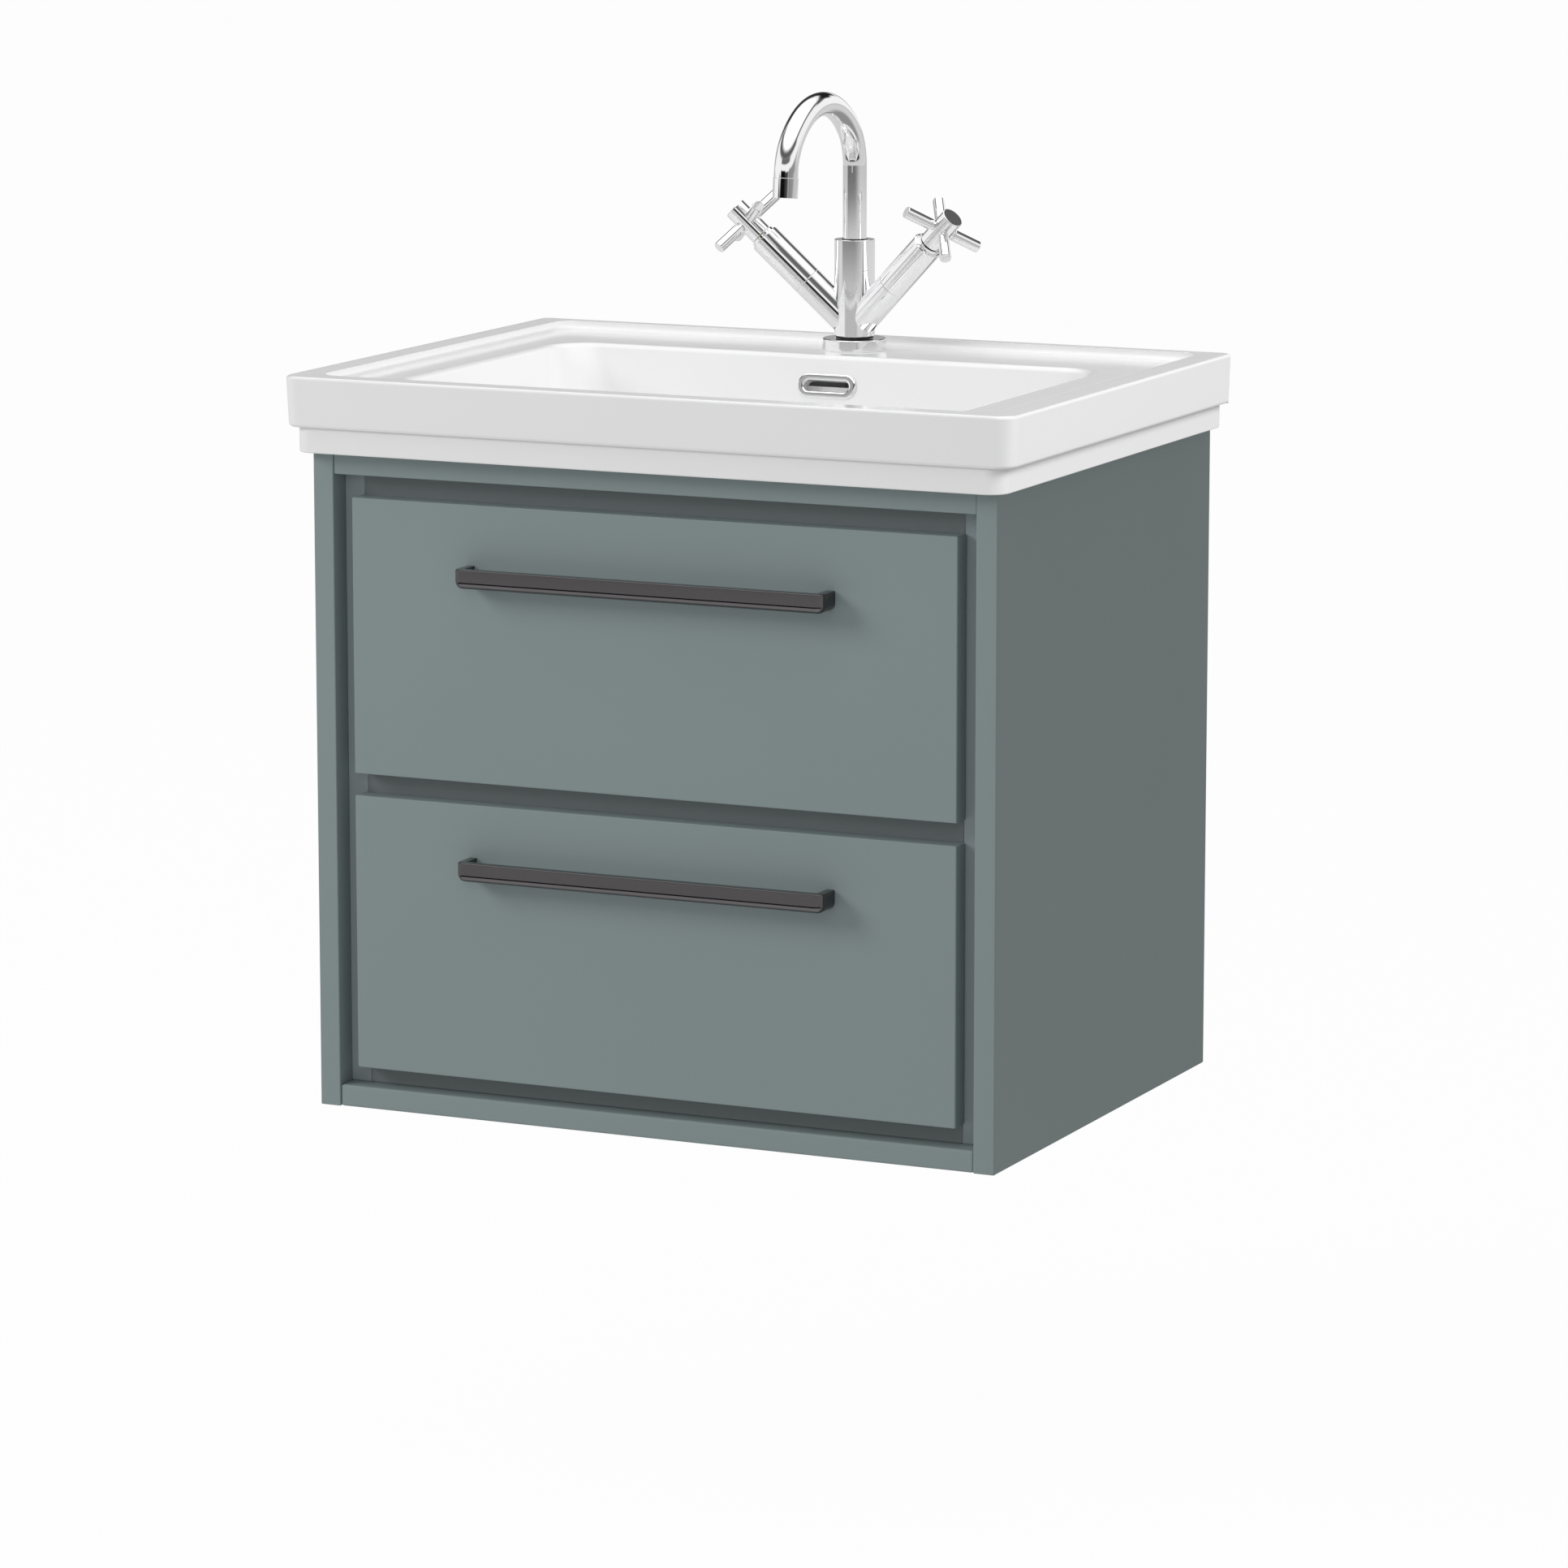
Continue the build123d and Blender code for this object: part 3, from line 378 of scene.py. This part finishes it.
def putAside(number):  # numbers the outline just drawn and hides it from the next one
    mesh = bmesh.from_edit_mesh(basin.data)
    ring = mesh.verts.layers.int["ring"]
    for v in mesh.verts:
        if not v.hide:
            v[ring] = number
    bmesh.update_edit_mesh(basin.data)
    bpy.ops.mesh.select_all(action="SELECT")
    bpy.ops.mesh.hide(unselected=False)


def pickRings(*numbers, backLimit=0.01):
    ring = bmesh.from_edit_mesh(basin.data).verts.layers.int["ring"]
    pick("EDGE", lambda e: all(v.co.y < backLimit for v in e.verts)
         and e.verts[0][ring] == e.verts[1][ring] and e.verts[0][ring] in numbers)


clearSelection()
bpy.ops.mesh.primitive_plane_add(size=1, location=(0, 0, 0))
basin = bpy.context.object
basin.name = "basin_glazed"
basin.data.attributes.new("ring", "INT", "POINT")
startEdit()
bpy.ops.mesh.delete(type="VERT")
for number, outline in enumerate(basinShape["outlines"].values()):
    if len(outline) == 2:
        addHoleRing(*outline)
    else:
        addOutline(*outline)
    putAside(number)
bpy.ops.mesh.reveal(select=False)
for number in range(len(ringNames)):
    pickRings(number, (number + 1) % len(ringNames))
    bpy.ops.mesh.bridge_edge_loops()
bpy.ops.mesh.select_all(action="SELECT")
bpy.ops.mesh.normals_make_consistent(inside=False)
for name, (size, steps, backLimit) in basinShape["rounds"].items():
    pickRings(ringNames.index(name), backLimit=backLimit)
    bpy.ops.mesh.bevel(offset=size, segments=steps, affect="EDGES")
bpy.ops.object.mode_set(mode="OBJECT")
basin.data.attributes.remove(basin.data.attributes["ring"])
print("basin outlines bridged:", len(basin.data.polygons), "faces")

overflow = {
    "drop": 0.025,
    "ringSize": (0.054, 0.021),
    "ringHole": (0.0405, 0.009),
    "slotSize": (0.043, 0.011),
    "thick": 0.0025,
    "round": 0.0021,
    "cutDepth": 0.02,
    "endSteps": 10,
    "roundSteps": 6,
}
bowlFoot, bowlTop = (basinShape["outlines"][name][2:4] for name in ("bowlFloor", "bowlEdge"))  # back, height
wallSlope = atan2(bowlTop[0] - bowlFoot[0], bowlTop[1] - bowlFoot[1])
overflowPlace = Vector((0, bowlTop[0] - overflow["drop"] * tan(wallSlope), bowlTop[1] - overflow["drop"]))


def slotBlock(name, size, depth, lift):
    clearSelection()
    bpy.ops.mesh.primitive_cube_add(size=1, location=(0, 0, 0))
    block = bpy.context.object
    block.name = name
    block.scale = (size[0], size[1], depth)
    bpy.ops.object.transform_apply(location=True, rotation=True, scale=True)
    startEdit()
    pick("EDGE", lambda e: abs(e.verts[0].co.z - e.verts[1].co.z) > depth / 2)
    almostHalf = size[1] * 0.4999
    bpy.ops.mesh.bevel(offset=almostHalf, segments=overflow["endSteps"], affect="EDGES")
    bpy.ops.mesh.select_all(action="SELECT")
    bpy.ops.transform.translate(value=(0, 0, lift))
    bpy.ops.object.mode_set(mode="OBJECT")
    block.matrix_world = Matrix.Translation(overflowPlace) @ Matrix.Rotation(pi / 2 - wallSlope, 4, "X")
    bpy.ops.object.transform_apply(location=True, rotation=True, scale=True)
    return block


def cutAway(piece, cutter):
    clearSelection()
    bpy.context.view_layer.objects.active = piece
    addModifier(piece, "BOOLEAN", "cut", operation="DIFFERENCE", object=cutter, solver="EXACT")
    bpy.data.objects.remove(cutter)


cutAway(basin, slotBlock("slotCutter", overflow["slotSize"], overflow["cutDepth"], 0.0))
clearSelection()
tapHole = basinShape["tapHole"]
bpy.ops.mesh.primitive_cylinder_add(
    vertices=tapHole["steps"], radius=tapHole["radius"], depth=tapHole["depth"], location=tapHole["middle"]
)
cutAway(basin, bpy.context.object)
dress(basin, "cabinet", "glazed_ceramic", materials["whiteGlaze"], "basin")

ringPiece = slotBlock("overflow_ring_chrome", overflow["ringSize"], overflow["thick"], overflow["thick"] / 2)
cutAway(ringPiece, slotBlock("ringCutter", overflow["ringHole"], overflow["cutDepth"], 0.0))
ringFacing = Vector((0, -cos(wallSlope), sin(wallSlope)))
startEdit()
pick("EDGE", lambda e: e.calc_face_angle(0) > 0.7 and all(
    abs((v.co - overflowPlace).dot(ringFacing) - overflow["thick"]) < closeBy for v in e.verts))
bpy.ops.mesh.bevel(offset=overflow["round"], segments=overflow["roundSteps"], affect="EDGES")
bpy.ops.object.mode_set(mode="OBJECT")
dress(ringPiece, "cabinet", "chrome", materials["tapChrome"], "overflow_ring")
print("basin and overflow ring dressed")


# turned metal: one ring, extruded and scaled along its profile

def turned(name, profile, closed=False, count=96, edge=0.0004):
    clearSelection()
    radius, height = profile[0]
    bpy.ops.mesh.primitive_circle_add(
        vertices=count, radius=radius, fill_type="NOTHING" if closed else "NGON", location=(0, 0, 0)
    )
    piece = bpy.context.object
    piece.name = name
    startEdit()
    bpy.ops.transform.translate(value=(0, 0, height))
    for (radius, height), (nextRadius, nextHeight) in zip(profile, profile[1:]):
        move = (0, 0, nextHeight - height)
        if closed:
            extrudeBy(move)
        else:
            bpy.ops.mesh.extrude_region_move(TRANSFORM_OT_translate={"value": move})
        size = nextRadius / radius
        resizeAbout((0, 0, nextHeight), size, size, 1)
    if closed:
        bpy.ops.mesh.select_mode(type="EDGE")
        bpy.ops.mesh.select_all(action="DESELECT")
        bpy.ops.mesh.select_non_manifold()
        bpy.ops.mesh.bridge_edge_loops()
    bpy.ops.mesh.select_all(action="SELECT")
    bpy.ops.mesh.normals_make_consistent(inside=False)
    bpy.ops.object.mode_set(mode="OBJECT")
    if edge:
        soften(piece, edge, 3, 40)
    return piece


tapShape = {
    "axisY": -0.053,
    "ledge": 0.105,
    "apex": 0.018,
    "tilt": 46.0,
    "sweep": 13.5,
    "pinTurn": 37.0,
    "pinHeight": 0.127,
    # profiles: radius and height above the ledge or along the arm
    "baseRing": [(0.027, 0.0), (0.027, 0.010), (0.0158, 0.010), (0.0158, 0.0)],
    "column": [
        (0.0155, -0.010), (0.0155, 0.010), (0.0145, 0.010), (0.0145, 0.012), (0.017, 0.012),
        (0.017, 0.093), (0.00905, 0.093), (0.00905, 0.0686),
    ],
    "armRoot": [(0.013, 0.0), (0.013, 0.0555), (0.0127, 0.056)],
    "sleeve": [
        (0.011, 0.056), (0.0127, 0.056), (0.013, 0.0563), (0.013, 0.1065), (0.0122, 0.1075), (0.01075, 0.1075),
        (0.01075, 0.110), (0.0056, 0.110), (0.0056, 0.1055), (0.011, 0.1055),
    ],
    "hub": [(0.0095, 0.1105), (0.0095, 0.1425)],
    "pin": [(0.0035, 0.0065), (0.0035, 0.0111), (0.0049, 0.0111), (0.0049, 0.0365)],
    # inside and outside radius, lower and upper height
    "seals": [
        ("tap_base_seal", 0.01452, 0.0156, 0.01005, 0.01195),
        ("tap_spout_seal", 0.0092, 0.0107, 0.09303, 0.09332),
    ],
}
tapBase = Matrix.Translation((0, tapShape["axisY"], tapShape["ledge"]))


def armPlace(side, turn=0.0):
    tilt, sweep = radians(tapShape["tilt"]), radians(tapShape["sweep"])
    along = Vector((side * sin(tilt) * cos(sweep), -sin(tilt) * sin(sweep), cos(tilt)))
    level = Vector((0, 0, 1)).cross(along).normalized()
    across = along.cross(level)
    first = level * cos(radians(turn)) + across * sin(radians(turn))
    second = along.cross(first)
    axes = Matrix((first, second, along)).transposed().to_4x4()
    return tapBase @ Matrix.Translation((0, 0, tapShape["apex"])) @ axes


def setPlace(piece, place):
    clearSelection()
    piece.select_set(True)
    bpy.context.view_layer.objects.active = piece
    piece.matrix_world = place
    bpy.ops.object.transform_apply(location=True, rotation=True, scale=True)
    return piece


def joined(name, *parts):
    clearSelection()
    for part in parts:
        part.select_set(True)
    bpy.context.view_layer.objects.active = parts[0]
    bpy.ops.object.join()
    parts[0].name = name
    return parts[0]


chrome = materials["tapChrome"]
baseRing = turned("tap_base_ring_chrome", tapShape["baseRing"], True, edge=0.0011)
dress(setPlace(baseRing, tapBase), "cabinet", "chrome", chrome, "tap_base_ring")

column = setPlace(turned("column", tapShape["column"], edge=0.0005), tapBase)
for name, inside, outside, low, high in tapShape["seals"]:
    seal = turned(
        name, [(inside, low), (outside, low), (outside, high), (inside, high)], True, count=64, edge=0.00005
    )
    dress(setPlace(seal, tapBase), "cabinet", "seal_rubber", materials["sealRubber"])
armRoots = [
    setPlace(turned("armRoot", tapShape["armRoot"], edge=0), armPlace(side))
    for side in (-1, 1)
]
tapBody = joined("tap_body_chrome", column, *armRoots)
dress(tapBody, "cabinet", "chrome", chrome, "tap_body")

for side, name, body in ((-1, "left", "hot_handle"), (1, "right", "cold_handle")):
    sleeve = turned(name + "_valve_sleeve_chrome", tapShape["sleeve"], True, edge=0.0003)
    dress(setPlace(sleeve, armPlace(side)), "cabinet", "chrome", chrome, name + "_valve_sleeve")
    hub = turned(name + "_handle_hub_chrome", tapShape["hub"], edge=0.0007)
    dress(setPlace(hub, armPlace(side)), body, "chrome", chrome, name + "_handle_hub")
    pins = []
    for quarter in range(4):
        pin = turned("pin", tapShape["pin"], count=64, edge=0.0006)
        spot = armPlace(side, -side * tapShape["pinTurn"] + 90 * quarter)
        spot = spot @ Matrix.Translation((0, 0, tapShape["pinHeight"]))
        pins.append(setPlace(pin, spot @ Matrix.Rotation(pi / 2, 4, "Y")))
    pinSet = joined(name + "_handle_pins_chrome", *pins)
    dress(pinSet, body, "chrome", chrome, name + "_handle_pins")

spoutShape = {
    "radius": 0.010,
    "footHeight": 0.0694,
    "footInside": 0.0078,
    "footOutside": 0.009,
    "shoulder": 0.0097,
    "shoulderRise": 0.0003,
    "start": 0.09335,
    "spring": 0.1548,
    "crown": 0.2104,
    "reach": 0.137,
    "sideRadius": 0.045,
    "tipTilt": 5.5,
    "tipRun": 0.004,
    "boreShare": 0.75,
    "boreDepth": 0.012,
    # radius and height, from the spout's tip downwards
    "aerator": [
        (0.0055, 0.0), (0.0104, 0.0), (0.0104, -0.0165), (0.0085, -0.0165), (0.0078, -0.0150), (0.0075, -0.0135),
        (0.0055, -0.0135),
    ],
}
spring, sideRadius = spoutShape["spring"], spoutShape["sideRadius"]
halfReach = spoutShape["reach"] / 2
archRise = spoutShape["crown"] - spring
sideOffset = halfReach - sideRadius
# two side bends of one radius and a flatter crown that meets both without a kink
crownRadius = (sideOffset**2 + archRise**2 - sideRadius**2) / (2 * (archRise - sideRadius))
sideSweep = atan2(crownRadius - archRise, sideOffset)
tipTilt = radians(spoutShape["tipTilt"])
tipWay = Vector((0, -sin(tipTilt), -cos(tipTilt)))
frontBend = Vector((0, sideRadius - spoutShape["reach"], spring))
tip = frontBend + Vector((0, -cos(tipTilt), sin(tipTilt))) * sideRadius
tip += tipWay * spoutShape["tipRun"]
clearSelection()
bpy.ops.mesh.primitive_circle_add(
    vertices=64, radius=spoutShape["footInside"], fill_type="NGON", location=(0, 0, 0)
)
spout = bpy.context.object
spout.name = "tap_spout_chrome"
startEdit()
bpy.ops.transform.translate(value=(0, 0, spoutShape["footHeight"]))
# foot, shoulder and straight part: how far each step rises, and the radius it then takes
steps = [
    (0, "footInside", "footOutside"),
    (spoutShape["start"] - spoutShape["footHeight"], "footOutside", "footOutside"),
    (0, "footOutside", "shoulder"),
    (spoutShape["shoulderRise"], "shoulder", "radius"),
    (spring - spoutShape["start"] - spoutShape["shoulderRise"], "radius", "radius"),
]
for rise, old, new in steps:
    extrudeBy((0, 0, rise))
    if new != old:
        size = spoutShape[new] / spoutShape[old]
        resizeAbout((0, 0, 0), size, size, 1)
bends = [
    (14, sideSweep, (0, -sideRadius, spring)),
    (32, pi - 2 * sideSweep, (0, -halfReach, spoutShape["crown"] - crownRadius)),
    (14, sideSweep - tipTilt, frontBend),
]
for count, sweep, centre in bends:
    bpy.ops.mesh.spin(steps=count, angle=sweep, center=centre, axis=(-1, 0, 0))
extrudeBy(tipWay * spoutShape["tipRun"])
extrudeBy((0, 0, 0))
resizeAbout(tip, spoutShape["boreShare"], spoutShape["boreShare"], spoutShape["boreShare"])
extrudeBy(tipWay * -spoutShape["boreDepth"])
bpy.ops.mesh.edge_face_add()
bpy.ops.mesh.select_all(action="SELECT")
bpy.ops.mesh.remove_doubles(threshold=closeBy)
bpy.ops.mesh.normals_make_consistent(inside=False)
bpy.ops.object.mode_set(mode="OBJECT")
setPlace(spout, tapBase)
dress(spout, "spout", "chrome", chrome, "tap_spout", angle=50)

aerator = turned("spout_aerator_chrome", spoutShape["aerator"], True, edge=0.0003)
outlet = tapBase @ Matrix.Translation(tip) @ Matrix.Rotation(-tipTilt, 4, "X")
dress(setPlace(aerator, outlet), "spout", "chrome", chrome, "spout_aerator")
print("tap dressed")


# bow handles: one cross section, drawn along the bar and turned at the bends

handleShape = {
    "half": 0.162,
    "height": 0.016,
    "bar": 0.007,
    "bend": 0.007,
    "belly": 0.0062,
    "edge": 0.0011,
}


def bowHandle(tier):
    low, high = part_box(tier + "_handle")
    middle = (low.z + high.z) / 2
    half, bend, bar = handleShape["half"], handleShape["bend"], handleShape["bar"]
    clearSelection()
    bpy.ops.mesh.primitive_plane_add(size=1, location=(0, 0, 0), rotation=(0, pi / 2, 0))
    handle = bpy.context.object
    handle.name = tier + "_handle_gunmetal"
    bpy.ops.object.transform_apply(location=True, rotation=True, scale=True)
    startEdit()
    resizeAbout((0, 0, 0), 1, bar, handleShape["height"])
    # belly under the front of the bar, a finer round on top
    pick("VERT", lambda v: v.co.y < 0 and v.co.z < 0)
    bpy.ops.mesh.bevel(offset=handleShape["belly"], segments=8, affect="VERTICES")
    pick("VERT", lambda v: v.co.y < 0 and v.co.z > handleShape["height"] * 0.4)
    bpy.ops.mesh.bevel(offset=handleShape["edge"], segments=4, affect="VERTICES")
    bpy.ops.mesh.select_all(action="SELECT")
    bpy.ops.mesh.select_mode(type="FACE")
    bpy.ops.mesh.select_all(action="SELECT")
    bpy.ops.transform.translate(value=(0, low.y + bar / 2, middle))
    # half of the bow: along the bar, round the bend, back to the front
    bpy.ops.mesh.extrude_region_move(TRANSFORM_OT_translate={"value": (half - bend, 0, 0)})
    bpy.ops.mesh.spin(steps=10, angle=pi / 2, center=(half - bend, low.y + bend, middle), axis=(0, 0, -1))
    pick("FACE", lambda f: f.normal.y > 0.99 and f.calc_center_median().x > half - 2 * bar)
    bpy.ops.mesh.extrude_region_move(TRANSFORM_OT_translate={"value": (0, high.y - low.y - bend, 0)})
    # the middle section goes, and the other half is mirrored on
    pick("FACE", lambda f: abs(f.calc_center_median().x) < closeBy and abs(f.normal.x) > 0.99)
    bpy.ops.mesh.delete(type="FACE")
    bpy.ops.object.mode_set(mode="OBJECT")
    addModifier(handle, "MIRROR", "otherHalf", use_axis=(True, False, False), merge_threshold=2 * closeBy)
    startEdit()
    bpy.ops.mesh.remove_doubles(threshold=closeBy)
    bpy.ops.mesh.normals_make_consistent(inside=False)
    bpy.ops.object.mode_set(mode="OBJECT")
    return dress(handle, tier + "_drawer", "handle_metal", materials["gunmetal"], tier + "_handle")


for tier in ("upper", "lower"):
    bowHandle(tier)
print("handles dressed")


# studio: pale floor, white surround, soft lamps

studio = {
    "floorHeight": -0.80,
    "floorSize": 40,
    "floorMatte": 0.9,
    "floorWhite": 0.97,
    "ambient": 0.40,
    # the glaze has a lamp of its own, and the tap throws no shadow in it
    "lamps": {
        "keyLeft": {"place": (-3.2, -3.0, 2.1), "aim": (0, -0.2, -0.15), "size": 2.0, "watts": 86},
        "frontSoft": {"place": (0.9, -4.2, 1.3), "aim": (0, -0.2, -0.15), "size": 2.0, "watts": 18},
        "overhead": {"place": (0.2, -1.0, 3.2), "aim": (0, -0.2, 0), "size": 2.4, "watts": 12},
        "glazeRight": {"place": (3.0, -0.35, 2.2), "aim": (0.1, -0.25, 0.05), "size": 2.0, "watts": 92, "glaze": True},
    },
    # what polished faces mirror, painted one over the other: degrees to the right of the front,
    # degrees above the horizon, softness at the left, right, bottom and top, brightness
    "screens": {
        "ceilingLight": {"turn": (-200, 200), "rise": (48, 100), "soft": (5, 5, 5, 5), "shade": 1.8},
        "paleFloor": {"turn": (-200, 200), "rise": (-100, -6), "soft": (5, 5, 5, 0.7), "shade": 0.69},
        "nearFloor": {"turn": (-75, 75), "rise": (-100, -32), "soft": (12, 12, 5, 2), "shade": 1.0},
        "floorSeam": {"turn": (-75, 75), "rise": (-33, -16), "soft": (12, 12, 3, 3), "shade": 0.02},
        "sideSkirting": {"turn": (-200, 200), "rise": (-5.8, -0.5), "soft": (5, 5, 0.8, 0.8), "shade": 0.60},
        "rightBay": {"turn": (52, 122), "rise": (-1, 9), "soft": (5, 25, 1, 2), "shade": 0.30},
        "frontSkirting": {"turn": (-50, 52), "rise": (-5.9, 0), "soft": (4, 34, 0.6, 0.6), "shade": 0.17},
        "frontRight": {"turn": (10, 52), "rise": (-0.5, 7), "soft": (5, 20, 1, 1.5), "shade": 0.05},
        "frontGapLow": {"turn": (-44, 18), "rise": (-0.5, 4.5), "soft": (3, 8, 1, 1), "shade": 0.01},
        "frontGap": {"turn": (-25, 18), "rise": (-0.5, 9), "soft": (3, 8, 1, 1), "shade": 0.005},
        "pictureRail": {"turn": (-108, 98), "rise": (27, 41), "soft": (6, 8, 4, 5), "shade": 0.12},
        "upperFront": {"turn": (-28, 55), "rise": (19, 30), "soft": (6, 12, 2, 4), "shade": 0.16},
        "rightRail": {"turn": (92, 150), "rise": (34, 42), "soft": (8, 5, 3, 4), "shade": 0.12},
        "backFloor": {"turn": (92, 200), "rise": (-78, -26), "soft": (12, 5, 10, 8), "shade": 0.30},
        "backRail": {"turn": (146, 200), "rise": (27, 40), "soft": (5, 5, 3, 3), "shade": 0.12},
        "backRailRight": {"turn": (164, 200), "rise": (22, 37), "soft": (5, 5, 3, 3), "shade": 0.015},
        "backLeftLow": {"turn": (-172, -106), "rise": (0, 12), "soft": (5, 6, 2, 2), "shade": 0.38},
        "backRailLeft": {"turn": (-200, -156), "rise": (16, 37), "soft": (5, 6, 3, 3), "shade": 0.015},
        "backLeft": {"turn": (-165, -112), "rise": (12, 40), "soft": (5, 8, 2, 6), "shade": 0.03},
    },
}


def buildFloor():
    clearSelection()
    bpy.ops.mesh.primitive_plane_add(size=studio["floorSize"], location=(0, 0, studio["floorHeight"]))
    floor = bpy.context.object
    floor.name = "studioFloor"
    floor.visible_glossy = False
    material = bpy.data.materials.new("paleFloor")
    material.use_nodes = True
    tree = material.node_tree
    tree.nodes.clear()
    leave = tree.nodes.new("ShaderNodeOutputMaterial")
    rays = tree.nodes.new("ShaderNodeLightPath")
    matte = tree.nodes.new("ShaderNodeBsdfDiffuse")
    matte.inputs["Color"].default_value = (studio["floorMatte"],) * 3 + (1,)
    white = tree.nodes.new("ShaderNodeEmission")
    white.inputs["Color"].default_value = (1, 1, 1, 1)
    shaded = tree.nodes.new("ShaderNodeMixShader")
    shaded.inputs["Fac"].default_value = studio["floorWhite"]
    tree.links.new(matte.outputs["BSDF"], shaded.inputs[1])
    tree.links.new(white.outputs["Emission"], shaded.inputs[2])
    seen = tree.nodes.new("ShaderNodeMixShader")
    tree.links.new(rays.outputs["Is Camera Ray"], seen.inputs["Fac"])
    tree.links.new(matte.outputs["BSDF"], seen.inputs[1])
    tree.links.new(shaded.outputs["Shader"], seen.inputs[2])
    tree.links.new(seen.outputs["Shader"], leave.inputs["Surface"])
    floor.data.materials.append(material)


def buildSurround():
    world = bpy.data.worlds.new("whiteSurround")
    scene.world = world
    world.use_nodes = True
    # bounced rays alone find an even surround, and the glaze that the chrome mirrors gets cleaner
    world.cycles.sampling_method = "NONE"
    tree = world.node_tree
    tree.nodes.clear()

    def calculate(operation, *values):
        node = tree.nodes.new("ShaderNodeMath")
        node.operation = operation
        for socket, value in zip(node.inputs, values):
            if isinstance(value, bpy.types.NodeSocket):
                tree.links.new(value, socket)
            else:
                socket.default_value = value
        return node.outputs["Value"]

    def between(angle, low, high, lowSoft, highSoft):  # 1 inside the limits, falling off softly
        sides = []
        for limit, soft, start, end in ((low, lowSoft, 0, 1), (high, highSoft, 1, 0)):
            ramp = tree.nodes.new("ShaderNodeMapRange")
            ramp.interpolation_type = "SMOOTHSTEP"
            ramp.inputs["From Min"].default_value = radians(limit - soft)
            ramp.inputs["From Max"].default_value = radians(limit + soft)
            ramp.inputs["To Min"].default_value = start
            ramp.inputs["To Max"].default_value = end
            tree.links.new(angle, ramp.inputs["Value"])
            sides.append(ramp.outputs["Result"])
        return calculate("MULTIPLY", *sides)

    def surround(strength):
        node = tree.nodes.new("ShaderNodeBackground")
        node.inputs["Color"].default_value = (1, 1, 1, 1)
        if isinstance(strength, bpy.types.NodeSocket):
            tree.links.new(strength, node.inputs["Strength"])
        else:
            node.inputs["Strength"].default_value = strength
        return node.outputs["Background"]

    def choose(test, no, yes):
        node = tree.nodes.new("ShaderNodeMixShader")
        tree.links.new(test, node.inputs["Fac"])
        tree.links.new(no, node.inputs[1])
        tree.links.new(yes, node.inputs[2])
        return node.outputs["Shader"]

    way = tree.nodes.new("ShaderNodeTexCoord")
    axes = tree.nodes.new("ShaderNodeSeparateXYZ")
    tree.links.new(way.outputs["Generated"], axes.inputs["Vector"])
    turn = calculate("ARCTAN2", axes.outputs["X"], calculate("MULTIPLY", axes.outputs["Y"], -1.0))
    rise = calculate("ARCSINE", axes.outputs["Z"])
    mirrored = 1.0
    for screen in studio["screens"].values():
        across = between(turn, *screen["turn"], *screen["soft"][:2])
        upright = between(rise, *screen["rise"], *screen["soft"][2:])
        inside = calculate("MULTIPLY", across, upright)
        change = calculate("SUBTRACT", screen["shade"], mirrored)
        mirrored = calculate("MULTIPLY_ADD", inside, change, mirrored)
    rays = tree.nodes.new("ShaderNodeLightPath")
    leave = tree.nodes.new("ShaderNodeOutputWorld")
    seen = calculate("MAXIMUM", rays.outputs["Is Camera Ray"], rays.outputs["Is Transmission Ray"])
    unseen = choose(rays.outputs["Is Glossy Ray"], surround(studio["ambient"]), surround(mirrored))
    tree.links.new(choose(seen, unseen, surround(1.0)), leave.inputs["Surface"])


def placeLamps():
    glazedPieces = bpy.data.collections.new("glazedPieces")
    glazedPieces.objects.link(basin)
    for name, lamp in studio["lamps"].items():
        clearSelection()
        aim = Vector(lamp["aim"]) - Vector(lamp["place"])
        facing = aim.to_track_quat("-Z", "Y").to_euler()
        bpy.ops.object.light_add(type="AREA", location=lamp["place"], rotation=facing)
        light = bpy.context.object
        light.name = name + "Lamp"
        light.data.shape = "DISK"
        light.data.size = lamp["size"]
        light.data.energy = lamp["watts"]
        light.visible_glossy = False
        if lamp.get("glaze"):
            light.light_linking.receiver_collection = glazedPieces
            light.light_linking.blocker_collection = glazedPieces


buildFloor()
buildSurround()
placeLamps()
print("studio lit")
